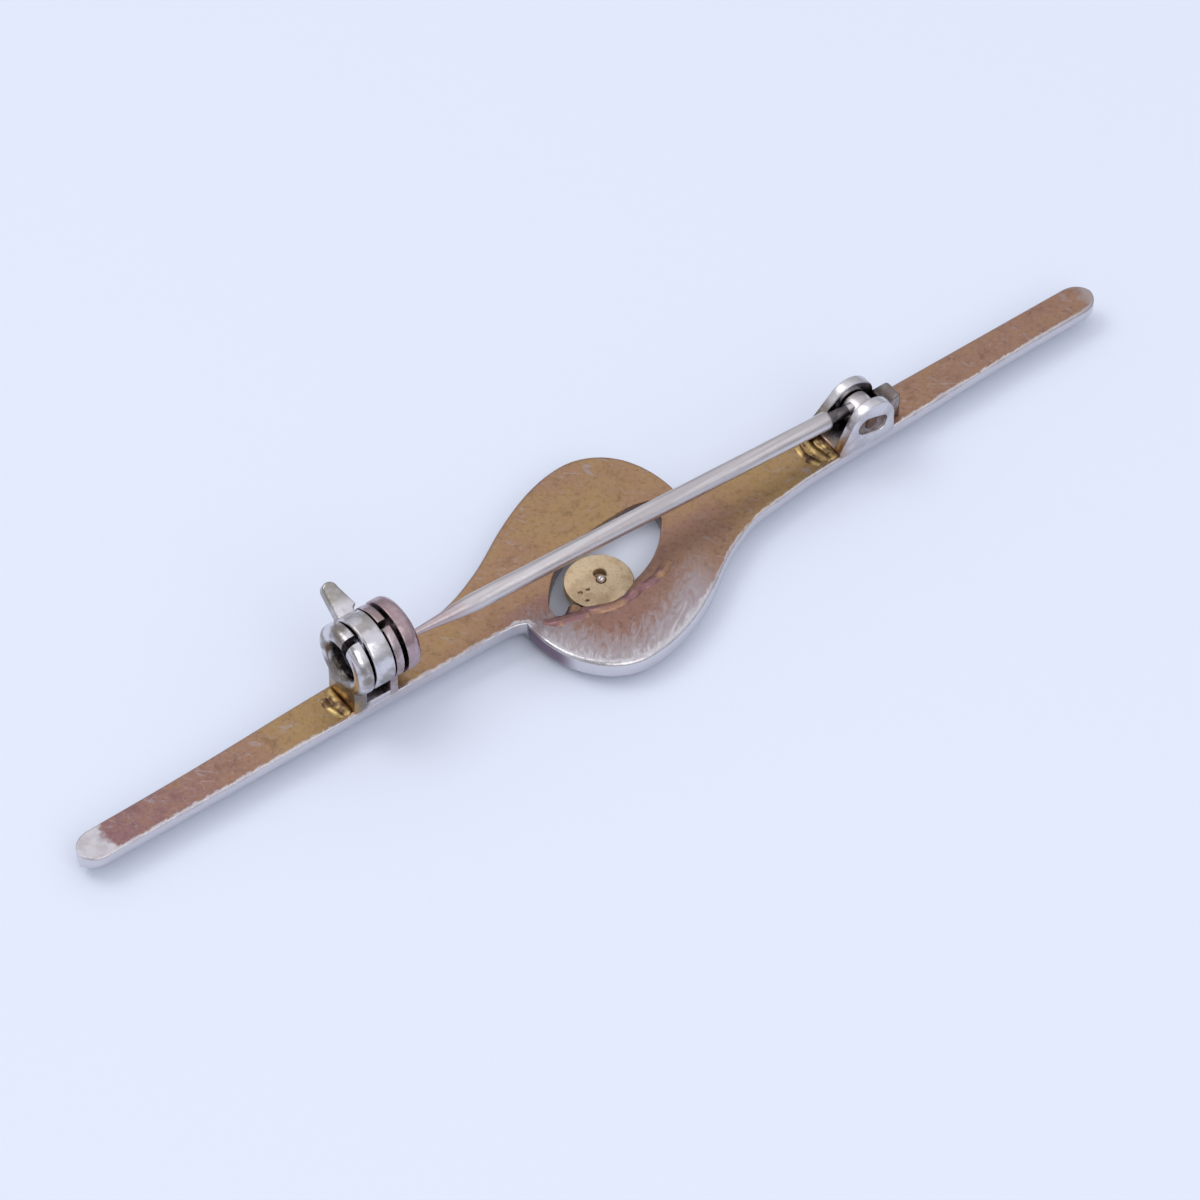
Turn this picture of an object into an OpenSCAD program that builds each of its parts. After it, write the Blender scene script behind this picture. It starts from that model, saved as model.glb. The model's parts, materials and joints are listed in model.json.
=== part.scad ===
// Bar brooch lying face down: two slim arms that swirl into each other
// round a small button, with a hinged pin and a turning safety catch.
// X runs along the bar towards the hinge, Z points out of the back.

/* [Bar] */
// Length of the bar from tip to tip
bar_length = 63.3; // [58:0.1:68]
// Height of the flat back above the surface that the front lies on
back_z = 1.6; // [1.4:0.05:1.9]
// Distance of the straight edge of each arm from the middle line
straight_edge = 0.7; // [0.6:0.05:0.8]
// Sections that the smooth curve puts between two rows of the table
steps_per_row = 3; // [2:1:5]
// Facets of the domed front across the bar
dome_facets = 8; // [6:2:12]

/* [Button] */
// Radius of the button in the opening
button_r = 1.8; // [1.7:0.05:1.9]
// Depth of the button's back below the back of the bar
button_drop = 0.35; // [0.2:0.05:0.45]
// Height of the straight rim of the button
button_rim = 0.45; // [0.3:0.05:0.6]
// Height of the dome on the button's front
button_dome = 0.6; // [0.4:0.05:0.7]
// Radius of the peg in the button's hole
peg_r = 0.23; // [0.19:0.01:0.26]

/* [Hinge] */
// Distance of the rivet from the middle of the bar
hinge_x = 15.9; // [15.5:0.1:16.3]
// Height of the rivet above the back of the bar
rivet_h = 1.25; // [1.24:0.01:1.35]
// Radius of the rivet
rivet_r = 0.38; // [0.3:0.02:0.42]
// Radius of the rounded top of each ear
ear_r = 1.4; // [1.35:0.05:1.55]
// Length of the near ear's foot on the slanted side, from the rivet
near_slant = 2.1; // [1.6:0.05:2.3]
// Length of the far ear's foot on the slanted side, from the rivet
far_slant = 2.6; // [2.3:0.05:2.7]
// Height to which the far ear's slanted side starts upright
far_rise = 0.7; // [0.4:0.05:0.8]
// Thickness of each ear
ear_t = 0.58; // [0.5:0.02:0.62]
// Overall width of the bracket across the bar
bracket_w = 2.38; // [2.3:0.02:2.5]
// Thickness of the bracket's floor
floor_t = 0.3; // [0.2:0.05:0.3]
// Half the height of the oval recess that each end of the rivet lies in
recess_r = 0.52; // [0.46:0.02:0.56]
// How far the oval recess reaches out to each side beyond its round ends
recess_reach = 0.42; // [0.2:0.02:0.46]
// Depth of the recess
recess = 0.18; // [0.1:0.02:0.2]

/* [Pin] */
// Radius of the pin wire
pin_r = 0.48; // [0.42:0.01:0.5]
// Height of the pin's axis above the back, next to the hinge
pin_h = 1.78; // [1.74:0.01:1.8]
// Rise of the pin's axis towards the catch, in degrees
pin_rise = 1.8; // [1.6:0.1:2]
// Sideways lean of the pin across the bar, in degrees
pin_lean = 1.15; // [1.1:0.01:1.2]
// Length of the pin from the rivet to its point
pin_length = 31.2; // [30.8:0.1:31.6]
// Length of the tapered end of the pin
pin_taper = 7.1; // [6.8:0.1:7.6]
// Radius of the thin neck between the knuckle and the wire
pin_neck_r = 0.3; // [0.26:0.02:0.4]
// Distance from the rivet at which the wire starts
pin_neck_to = 1.95; // [1.8:0.05:2.2]
// Distance from the rivet at which the pin has drawn in to its even thickness
pin_even_from = 3; // [2.9:0.1:3.4]
// Radius of the pin's point
pin_point_r = 0.08; // [0.06:0.01:0.09]
// Radius of the knuckle round the rivet
knuckle_r = 0.88; // [0.84:0.01:0.89]

/* [Catch] */
// Front end of the catch, from the middle of the bar
catch_from = -15.9; // [-16.1:0.1:-15.7]
// Height of the catch's axis above the back of the bar
catch_h = 2.75; // [2.7:0.05:2.85]
// Offset of the catch's axis from the bar's middle line
catch_y = 0.6; // [0.5:0.02:0.64]
// Outer radius of the front ring and of the rear collar
ring_r = 1.98; // [1.96:0.02:2.1]
// Length of the front ring along the bar
ring_t = 0.8; // [0.76:0.02:0.86]
// Radius of the turning disc and of the wall behind it
disc_r = 1.95; // [1.85:0.05:2]
// Thickness of the turning disc
disc_t = 1.14; // [1.06:0.02:1.16]
// Thickness of the housing's wall behind the disc
wall_t = 0.48; // [0.4:0.02:0.5]
// Length of the rear collar along the bar
collar_t = 0.9; // [0.8:0.02:0.96]
// Radius of the turning sleeve
sleeve_r = 1.3; // [1.25:0.01:1.35]
// Radius of the bore that the pin lies in
bore_r = 1; // [0.9:0.01:1.05]
// Half the width of the mouth that the pin lifts out of
mouth_half = 0.2; // [0.2:0.01:0.3]
// Distance of the thumb lever's end from the catch's axis
lever_reach = 3.8; // [3.5:0.05:4]
// Width of the thumb lever at its round end
lever_w = 0.84; // [0.7:0.02:0.9]
// Width of the thumb lever where it leaves the disc
lever_root_w = 1.12; // [0.9:0.02:1.14]
// Distance to which its rear edge flares out above the wall, from its middle
lever_flare = 0.8; // [0.56:0.02:0.84]
// Thickness of the thumb lever
lever_t = 0.62; // [0.5:0.02:0.7]
// Angle of the stored lever above the flat, on the far side
lever_angle = 30; // [25:1:35]
// Turn of the lever that brings the rotor's mouth under the housing's mouth
open_turn = 100; // [90:5:110]

/* [Hidden] */

silver = "#c9c6c4";
tarnish = "#a5845c";
pale_gold = "#c4ad7e";

// Running clearance of the pieces that turn, and the seat of those that don't
run_gap = 0.04;
seat_gap = 0.02;
cut = 1;

// Middle of the button, a little off the middle of the bar
button_at = [-0.9, -0.66];

// The left arm and its lobe, a row for each section across the metal.
// Columns: outer edge x and y, inner edge x and y, thickness,
// height of the straight side, radius of the outer back edge, and how
// much further out the left half goes than the right one
tip_x = -bar_length / 2;
arm_tip_y = 1.22;
arm_rows = [
    [-30.50, arm_tip_y, -30.50, -straight_edge, 1.28, 0.45, 0.12, 0],
    [-24.50, 1.32, -24.50, -straight_edge, 1.30, 0.45, 0.12, 0],
    [-18.00, 1.58, -18.00, -straight_edge, 1.32, 0.45, 0.12, 0],
    [-12.40, 1.76, -12.40, -straight_edge, 1.35, 0.46, 0.13, 0.02],
    [-9.90, 2.00, -9.60, -straight_edge, 1.40, 0.48, 0.15, 0.06],
    [-7.90, 2.28, -7.60, -straight_edge, 1.46, 0.50, 0.18, 0.18],
    [-6.10, 3.00, -6.00, -0.82, 1.52, 0.55, 0.22, 0.20],
    [-4.95, 3.64, -5.00, -1.40, 1.56, 0.65, 0.26, 0.18]
];
lobe_rows = [
    [-4.20, 4.14, -4.25, -1.62, 1.60, 0.72, 0.28, 0.14],
    [-3.45, 4.64, -4.08, -0.80, 1.60, 0.78, 0.30, 0.10],
    [-2.55, 5.16, -3.60, -0.12, 1.60, 0.82, 0.30, 0.06],
    [-1.45, 5.68, -2.90, 0.62, 1.60, 0.84, 0.30, 0.06],
    [-0.20, 6.10, -1.95, 1.30, 1.60, 0.84, 0.30, 0.12],
    [1.20, 6.34, -0.80, 1.78, 1.60, 0.84, 0.30, 0.20],
    [2.50, 6.28, 0.50, 2.02, 1.60, 0.84, 0.30, 0.25],
    [3.65, 5.76, 1.75, 2.12, 1.60, 0.83, 0.28, 0.29],
    [4.50, 4.97, 2.90, 2.16, 1.58, 0.80, 0.26, 0.30],
    [5.10, 4.03, 3.75, 2.06, 1.54, 0.76, 0.24, 0.24],
    [5.45, 3.04, 4.40, 1.78, 1.48, 0.70, 0.20, 0.17],
    [5.62, 2.05, 4.90, 1.32, 1.40, 0.64, 0.16, 0.10],
    [5.62, 1.10, 5.20, 0.75, 1.32, 0.60, 0.10, 0.04],
    [5.56, 0.45, 5.34, 0.35, 1.25, 0.58, 0.05, 0]
];
inner_edge_r = 0.1;
edge_facets = 3;

// Round end of the arm: angles at which it is cut, from the tip on
tip_angles = [10, 26, 44, 64];
tip_thick = 0.95;

function mix(a, b, f) = a + (b - a) * f;

// Point between rows i and i + 1 of a table, on a smooth curve
function smooth_row(rows, i, f) =
    let (
        last = len(rows) - 1,
        before = rows[max(i - 1, 0)],
        start = rows[i],
        end = rows[min(i + 1, last)],
        after = rows[min(i + 2, last)]
    )
    0.5 * (2 * start + (end - before) * f
        + (2 * before - 5 * start + 4 * end - after) * f * f
        + (3 * start - before - 3 * end + after) * f * f * f);

function smooth(rows) = [
    for (i = [0 : len(rows) - 2], k = [0 : steps_per_row - 1])
        smooth_row(rows, i, k / steps_per_row),
    rows[len(rows) - 1]
];

function tip_rows() =
    let (
        half = (arm_tip_y + straight_edge) / 2,
        mid = (arm_tip_y - straight_edge) / 2,
        first = arm_rows[0]
    )
    [
        for (a = tip_angles)
            let (
                x = tip_x + (first[0] - tip_x) * (1 - cos(a)),
                y = half * sin(a)
            )
            [x, mid + y, x, mid - y, mix(tip_thick, first[4], sin(a)), first[5], first[6], 0]
    ];

// Outline of one section, from the inner back edge round to the same place
function section(row, fuller) =
    let (
        outer = [row[0], row[1]],
        inner = [row[2], row[3]],
        along = (outer - inner) / norm(outer - inner),
        width = norm(outer - inner) + (fuller ? row[7] : 0),
        thick = row[4],
        side = row[5],
        edge_o = min(row[6], width * 0.4),
        edge_i = min(inner_edge_r, width * 0.3),
        turn = 90 / edge_facets
    )
    [
        for (p = [
            for (k = [0 : edge_facets])
                [
                    edge_i - edge_i * cos(k * turn),
                    -edge_i + edge_i * sin(k * turn)
                ],
            for (k = [0 : edge_facets])
                [
                    width - edge_o + edge_o * sin(k * turn),
                    -edge_o + edge_o * cos(k * turn)
                ],
            for (k = [0 : dome_facets])
                [
                    width / 2 + width / 2 * cos(180 * k / dome_facets),
                    -side - (thick - side) * sin(180 * k / dome_facets)
                ]
        ])
            [inner[0] + along[0] * p[0], inner[1] + along[1] * p[0], back_z + p[1]]
    ];

// Solid skinned over a list of sections that have the same number of points
module skin(rings) {
    count = len(rings[0]);
    last = len(rings) - 1;
    polyhedron(
        points = [for (ring = rings, p = ring) p],
        faces = [
            [for (j = [0 : count - 1]) count - 1 - j],
            for (i = [0 : last - 1], j = [0 : count - 1])
                let (k = (j + 1) % count)
                [i * count + j, i * count + k, (i + 1) * count + k],
            for (i = [0 : last - 1], j = [0 : count - 1])
                let (k = (j + 1) % count)
                [i * count + j, (i + 1) * count + k, (i + 1) * count + j],
            [for (j = [0 : count - 1]) last * count + j]
        ],
        convexity = 6
    );
}

module swirl_arm(fuller) {
    rows = concat(tip_rows(), smooth(concat(arm_rows, lobe_rows)));
    skin([for (row = rows) section(row, fuller)]);
}

// How far the rivet stands out of the floor of its recess
rivet_proud = 0.08;
// Middle of the oval recess below the rivet, and its tilt in degrees
recess_drop = 0.08;
recess_tilt = 17;

// Middle line of an arm across the bar, at the hinge
hinge_y = straight_edge - bracket_w / 2;
rivet_z = back_z + rivet_h;

// How far the slanted side runs in below the round top of an ear
ear_merge = 0.03;

// Where a line from a point meets the round top of an ear, nearly touching it
function meet(point) =
    let (a = atan2(point[1], point[0]) - acos(ear_r / norm(point)))
    (ear_r - ear_merge) * [cos(a), sin(a)];

// An ear: round at the top, upright on one side and slanted on the other,
// with a recess round the rivet's end in its outer face. The slanted side
// starts upright, up to the given rise.
module ear(y, slant, rise, recess_from) {
    slant_from = [-slant, rise - rivet_h];
    translate([hinge_x, y + ear_t, rivet_z])
        rotate([90, 0, 0])
            difference() {
                linear_extrude(ear_t)
                    union() {
                        circle(ear_r, $fn = 64);
                        polygon([
                            slant_from, [-slant, -rivet_h], [ear_r - ear_merge, -rivet_h],
                            [ear_r - ear_merge, 0], meet(slant_from)
                        ]);
                    }
                translate([0, 0, -cut])
                    cylinder(h = ear_t + 2 * cut, r = rivet_r + seat_gap, $fn = 48);
                translate([0, -recess_drop, recess_from])
                    rotate([0, 0, -recess_tilt])
                        hull()
                            for (side = [-1, 1])
                                translate([side * recess_reach, 0, 0])
                                    cylinder(h = cut, r = recess_r, $fn = 48);
            }
}

// The stop behind the knuckle that the opened pin leans towards
stop_from = 1.14;
stop_to = 2.3;
stop_top = 0.3;

module hinge_bracket() {
    near_y = hinge_y - bracket_w / 2;
    inside_w = bracket_w - 2 * ear_t;
    translate([hinge_x - near_slant, near_y, back_z])
        cube([near_slant + ear_r, bracket_w, floor_t]);
    ear(near_y, near_slant, floor_t, ear_t - recess);
    ear(near_y + bracket_w - ear_t, far_slant, far_rise, recess - cut);
    translate([hinge_x + stop_from, near_y + ear_t, back_z])
        cube([stop_to - stop_from, inside_w, rivet_h + stop_top]);
}

module hinge_rivet() {
    length = bracket_w - 2 * recess + 2 * rivet_proud;
    color(silver)
        translate([hinge_x, hinge_y + length / 2, rivet_z])
            rotate([90, 0, 0])
                cylinder(h = length, r = rivet_r, $fn = 48);
}

// The pin's own direction, and the plane in which its point lifts
knuckle_w = bracket_w - 2 * ear_t - 2 * run_gap;
pin_start = 0.5;
pin_root_r = pin_r + 0.02;
// Slant where the wire draws in to its neck
pin_shoulder = 0.14;

module pin_stem() {
    straight = pin_length - pin_taper;
    color(silver)
        translate([hinge_x, hinge_y, rivet_z])
            difference() {
                union() {
                    rotate([90, 0, 0])
                        translate([0, 0, -knuckle_w / 2])
                            cylinder(h = knuckle_w, r = knuckle_r, $fn = 64);
                    translate([0, 0, pin_h - rivet_h])
                        rotate([0, pin_rise, 0])
                            rotate([0, 0, -pin_lean])
                                rotate([0, -90, 0])
                                    rotate_extrude($fn = 40)
                                        polygon([
                                            [0, pin_start],
                                            [pin_neck_r, pin_start],
                                            [pin_neck_r, pin_neck_to],
                                            [pin_root_r - pin_shoulder, pin_neck_to],
                                            [pin_root_r, pin_neck_to + pin_shoulder],
                                            [pin_r, pin_even_from],
                                            [pin_r, straight],
                                            [mix(pin_r, pin_point_r, 0.48), straight + pin_taper * 0.28],
                                            [mix(pin_r, pin_point_r, 0.8), straight + pin_taper * 0.5],
                                            [pin_point_r, pin_length - pin_point_r],
                                            [0, pin_length]
                                        ]);
                }
                rotate([90, 0, 0])
                    translate([0, 0, -knuckle_w / 2 - cut])
                        cylinder(h = knuckle_w + 2 * cut, r = rivet_r + run_gap, $fn = 48);
            }
}

catch_z = back_z + catch_h;
// Gaps in front of the disc, behind it and in front of the rear collar
front_gap = 0.16;
back_gap = 0.08;
collar_gap = 0.22;
disc_from = catch_from + ring_t + front_gap;
wall_from = disc_from + disc_t + back_gap;
collar_to = wall_from + wall_t + collar_gap + collar_t;
// The thumb lever's place on the disc, from the disc's middle
lever_shift = 0.01;
// Clearance of the lever's flare over the rim of the wall
lever_clear = 0.1;
// Middle of the mouth across the bar, over the pin that lies in the bore
mouth_y = 0.08;
foot_w = 2.3;
foot_y = 0.48;

// Plain cylinder on the catch's axis
module on_axis(from_x, to_x, r) {
    translate([from_x, catch_y, catch_z])
        rotate([0, 90, 0])
            cylinder(h = to_x - from_x, r = r, $fn = 72);
}

// Slot from the catch's bore straight up, as long as the catch
module mouth() {
    translate([catch_from - cut, mouth_y - mouth_half, catch_z])
        cube([collar_to - catch_from + 2 * cut, 2 * mouth_half, ring_r + cut]);
}

// Ring on the catch's axis, with a full round on its first face
module round_ring(length, inner) {
    half = (ring_r - inner) / 2;
    rotate([0, 90, 0])
        rotate_extrude($fn = 72)
            translate([inner + half, half])
                union() {
                    intersection() {
                        circle(half, $fn = 40);
                        translate([-half, -half])
                            square([2 * half, half]);
                    }
                    translate([-half, 0])
                        square([2 * half, length - half]);
                }
}

// Upright below a ring, up to the middle of the ring's thickness
module catch_leg(from_x, length, inner, outer) {
    difference() {
        translate([from_x, foot_y - foot_w / 2, back_z])
            cube([length, foot_w, catch_h]);
        on_axis(from_x - cut, from_x + length + cut, (inner + outer) / 2);
    }
}

module catch_housing() {
    difference() {
        union() {
            translate([catch_from, foot_y - foot_w / 2, back_z])
                cube([wall_from + wall_t - catch_from, foot_w, floor_t]);
            translate([catch_from, catch_y, catch_z])
                round_ring(ring_t, bore_r);
            difference() {
                on_axis(wall_from, wall_from + wall_t, disc_r);
                on_axis(wall_from - cut, wall_from + wall_t + cut, sleeve_r + run_gap);
            }
            catch_leg(catch_from, ring_t, bore_r, ring_r);
            catch_leg(wall_from, wall_t, sleeve_r, disc_r);
        }
        mouth();
    }
}

// Turning part: a disc and its thumb lever between the ring and the wall,
// and a sleeve that runs through the wall to a collar behind it. Its mouth
// faces the far side while the catch is closed.
module catch_rotor() {
    color(silver)
        difference() {
            union() {
                on_axis(disc_from + disc_t / 2, collar_to - collar_t / 2, sleeve_r);
                on_axis(disc_from, disc_from + disc_t, disc_r);
                translate([collar_to, catch_y, catch_z])
                    rotate([0, 0, 180])
                        round_ring(collar_t, bore_r);
                translate([disc_from + disc_t / 2 + lever_shift, catch_y, catch_z])
                    rotate([lever_angle, 0, 0])
                        thumb_lever();
            }
            on_axis(catch_from - cut, collar_to + cut, bore_r);
            translate([0, catch_y, catch_z])
                rotate([-open_turn, 0, 0])
                    translate([0, -catch_y, -catch_z])
                        mouth();
        }
}

// Flat tab lying along Y, narrowing from the disc to its round end, with a
// flare that passes over the rim of the wall
module thumb_lever() {
    end_y = lever_reach - lever_w / 2;
    clear_y = disc_r + lever_clear;
    translate([0, 0, -lever_t / 2])
        linear_extrude(lever_t)
            union() {
                polygon([
                    [-lever_root_w / 2, sleeve_r], [lever_root_w / 2, sleeve_r],
                    [lever_root_w / 2, clear_y], [lever_flare, clear_y + lever_clear],
                    [lever_w / 2, end_y], [-lever_w / 2, end_y]
                ]);
                translate([0, end_y])
                    circle(lever_w / 2, $fn = 40);
            }
}

module button_seat() {
    translate([button_at[0], button_at[1], -cut])
        cylinder(h = back_z + 2 * cut, r = button_r + seat_gap, $fn = 72);
}

module brooch_frame() {
    color(tarnish)
        difference() {
            union() {
                swirl_arm(true);
                rotate([0, 0, 180])
                    swirl_arm(false);
            }
            button_seat();
        }
    color(silver) {
        hinge_bracket();
        catch_housing();
    }
}

// Casting pits in the button's back: x, y and radius from its middle
pits = [
    [-1.2, -0.05, 0.12],
    [-0.76, -0.1, 0.1],
    [-1.2, -0.66, 0.09]
];
pit_depth = 0.12;
// Hole through which the peg was set, open on the far side of the peg
peg_at = [0.16, 0.03];
peg_depth = 0.5;
peg_hole_r = peg_r + seat_gap;
open_at = [0.36, 0.4];
open_r = 0.34;

module centre_button() {
    back = back_z - button_drop;
    rim_z = back - button_rim;
    dome_r = (button_r * button_r + button_dome * button_dome) / (2 * button_dome);
    color(pale_gold)
        translate([button_at[0], button_at[1], 0])
            difference() {
                union() {
                    translate([0, 0, rim_z])
                        cylinder(h = button_rim, r = button_r, $fn = 72);
                    intersection() {
                        translate([0, 0, rim_z - button_dome + dome_r])
                            sphere(dome_r, $fn = 96);
                        translate([0, 0, rim_z - button_dome])
                            cylinder(h = button_dome, r = button_r, $fn = 72);
                    }
                }
                translate([peg_at[0], peg_at[1], back - peg_depth])
                    cylinder(h = peg_depth + cut, r = peg_hole_r, $fn = 36);
                translate([open_at[0], open_at[1], back - peg_depth])
                    cylinder(h = peg_depth + cut, r = open_r, $fn = 36);
                for (pit = pits)
                    translate([pit[0], pit[1], back - pit_depth])
                        cylinder(h = pit_depth + cut, r = pit[2], $fn = 24);
            }
}

// Peg with a low round head, set in the button's hole
module button_peg() {
    back = back_z - button_drop;
    color(silver)
        translate([button_at[0] + peg_at[0], button_at[1] + peg_at[1], back - peg_depth + seat_gap])
            rotate_extrude($fn = 36)
                union() {
                    square([peg_r, peg_depth - seat_gap]);
                    intersection() {
                        translate([0, peg_depth - seat_gap])
                            circle(peg_r, $fn = 36);
                        square([peg_r, peg_depth + peg_r]);
                    }
                }
}

brooch_frame();
centre_button();
button_peg();
hinge_rivet();
pin_stem();
catch_rotor();
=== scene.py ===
"""Bar brooch lying face down: two cast arms that swirl round a button, a hinged pin and a turning catch.

All shapes are worked out in millimetres and brought into metres as each piece is finished.
"""

import json
import math
from types import SimpleNamespace

import bmesh
import bpy
from bpy.props import FloatProperty, FloatVectorProperty, IntProperty, PointerProperty
from mathutils import Matrix, Vector
from mathutils.kdtree import KDTree


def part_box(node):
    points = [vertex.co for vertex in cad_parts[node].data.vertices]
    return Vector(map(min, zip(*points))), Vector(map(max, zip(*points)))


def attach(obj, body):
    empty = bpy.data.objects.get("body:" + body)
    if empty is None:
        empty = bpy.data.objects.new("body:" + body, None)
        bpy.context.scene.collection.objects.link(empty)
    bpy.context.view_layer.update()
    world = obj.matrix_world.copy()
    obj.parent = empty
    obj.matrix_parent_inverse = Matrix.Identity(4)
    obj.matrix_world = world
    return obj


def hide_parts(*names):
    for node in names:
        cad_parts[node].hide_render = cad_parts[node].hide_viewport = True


bl_info = {
    "name": "Bar Brooch",
    "version": (1, 0, 0),
    "blender": (4, 5, 0),
    "location": "3D View > Sidebar > Brooch",
    "description": "Builds a silver bar brooch seen from its back, piece by piece",
    "category": "Object",
}

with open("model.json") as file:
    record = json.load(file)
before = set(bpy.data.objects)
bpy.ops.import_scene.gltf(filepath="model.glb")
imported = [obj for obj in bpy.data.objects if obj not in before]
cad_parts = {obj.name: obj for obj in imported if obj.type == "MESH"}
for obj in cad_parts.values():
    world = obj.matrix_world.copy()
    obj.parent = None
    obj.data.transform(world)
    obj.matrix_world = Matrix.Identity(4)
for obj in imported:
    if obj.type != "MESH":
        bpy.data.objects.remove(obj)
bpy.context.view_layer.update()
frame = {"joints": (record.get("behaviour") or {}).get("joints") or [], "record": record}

MM = 0.001
IN_MM = 1000
# Faces that meet at a smaller angle are shaded smooth, and edges of a larger one are rounded
SMOOTH_ANGLE = math.radians(32)
EDGE_ANGLE = math.radians(40)
X_AXIS = Vector((1, 0, 0))
Z_AXIS = Vector((0, 0, 1))


def joint_place(name):
    """Point in millimetres that a joint of the frame turns about."""
    found = next(joint for joint in frame["joints"] if joint["name"] == name)
    return Vector(found["pos_m"]) * IN_MM


def box_mm(node):
    """Lowest and highest corner of a node of the frame, in millimetres."""
    low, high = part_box(node)
    return low * IN_MM, high * IN_MM


RIVET_AT = joint_place("pin_hinge")
CATCH_AT = joint_place("catch_turn")
BUTTON_LOW, BUTTON_HIGH = box_mm("centre_button")
RIVET_LOW, RIVET_HIGH = box_mm("hinge_rivet")
BAR_LOW = box_mm("brooch_frame")[0]
PIN_MOUNT = frame["record"]["mounts"][0]
PIN_AXIS = Vector(PIN_MOUNT["axis"])
PIN_MIDDLE = Vector(PIN_MOUNT["pos_m"]) * IN_MM
PIN_R = PIN_MOUNT["dims"]["r_mm"]

# Endings of the fields' names, as words
ENDINGS = {"r": "radius", "t": "thickness", "w": "width", "y": "place", "z": "height"}


def length_prop(label, note, millimetres):
    """A size, kept in metres as Blender keeps lengths."""
    return FloatProperty(name=label, description=note, default=millimetres * MM, unit="LENGTH", precision=5)


def angle_prop(label, note, degrees):
    """An angle, kept in radians as Blender keeps angles."""
    return FloatProperty(name=label, description=note, default=math.radians(degrees), subtype="ANGLE")


def colour_prop(label, note, default):
    """A colour, in linear light."""
    return FloatVectorProperty(name=label, description=note, default=default, subtype="COLOR", min=0, max=1)


def count_prop(label, note, default):
    """A number of segments round a turned piece."""
    return IntProperty(name=label, description=note, default=default, min=32, max=160)


def fields(make, **rows):
    """Properties of one kind from their defaults and descriptions, labelled after their names."""
    made = {}
    for name, (default, note) in rows.items():
        words = [ENDINGS.get(word, word) for word in name.split("_")]
        made[name] = make(" ".join(words).capitalize(), note, default)
    return made


class BroochBarSizes(bpy.types.PropertyGroup):
    """Sizes of the two cast arms"""

    __annotations__ = fields(
        length_prop,
        back_z=(1.6, "Height of the flat back above the surface"),
        straight_edge=(0.7, "Distance of an arm's straight edge from the middle line"),
        arm_tip_y=(1.22, "Distance of the sloping edge from the middle line"),
        tip_thick=(0.95, "Thickness of the metal at the tip"),
        inner_edge=(0.1, "Radius of the inner back edge"),
        section_step=(0.3, "Distance between two sections of an arm"),
        seat_gap=(0.02, "Gap round a piece that is set in its hole"),
    )


class BroochButtonSizes(bpy.types.PropertyGroup):
    """Sizes of the button and its peg"""

    __annotations__ = fields(
        length_prop,
        rim=(0.45, "Height of the button's straight rim"),
        dome=(0.6, "Height of the dome on the button's front"),
        hole_r=(0.34, "Radius of the open side of the peg's hole"),
        peg_r=(0.23, "Radius of the peg"),
        peg_depth=(0.5, "Depth of the peg's hole"),
        pit_depth=(0.12, "Depth of the casting pits"),
    )


class BroochHingeSizes(bpy.types.PropertyGroup):
    """Sizes of the hinge bracket"""

    __annotations__ = fields(
        length_prop,
        ear_r=(1.4, "Radius of an ear's round top"),
        ear_t=(0.58, "Thickness of each ear"),
        width=(2.38, "Width of the bracket across the bar"),
        floor_t=(0.3, "Thickness of the bracket's floor"),
        near_slant=(2.1, "Length of the near ear's foot, from the rivet"),
        far_slant=(2.6, "Length of the far ear's foot, from the rivet"),
        far_rise=(0.7, "Height of its upright side below the slant"),
        recess=(0.18, "Depth of the recess round the rivet's end"),
        recess_r=(0.52, "Half the height of the oval recess"),
        recess_reach=(0.42, "How far the recess reaches beyond its round ends"),
        recess_drop=(0.08, "Middle of the recess below the rivet"),
        stop_from=(1.14, "Near face of the stop, from the rivet"),
        stop_to=(2.3, "Rear face of the stop, from the rivet"),
        stop_top=(0.3, "Height of the stop above the rivet"),
    )
    __annotations__ |= fields(
        angle_prop,
        recess_tilt=(17, "Tilt of the oval recess"),
    )


class BroochPinSizes(bpy.types.PropertyGroup):
    """Sizes of the pin"""

    __annotations__ = fields(
        length_prop,
        length=(31.2, "Length from the rivet to the point"),
        taper=(7.1, "Length of the tapered end"),
        even_from=(3, "Distance from the rivet at which the pin is even"),
        root=(0.02, "How much thicker the pin is at its root"),
        start=(0.5, "Distance of the pin's root from the rivet"),
        neck_r=(0.3, "Radius of the thin neck next to the knuckle"),
        neck_to=(1.95, "Distance from the rivet at which the wire starts"),
        point_r=(0.08, "Radius of the pin's point"),
        knuckle_r=(0.88, "Radius of the knuckle round the rivet"),
        run_gap=(0.04, "Gap of the pieces that turn"),
    )


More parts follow.
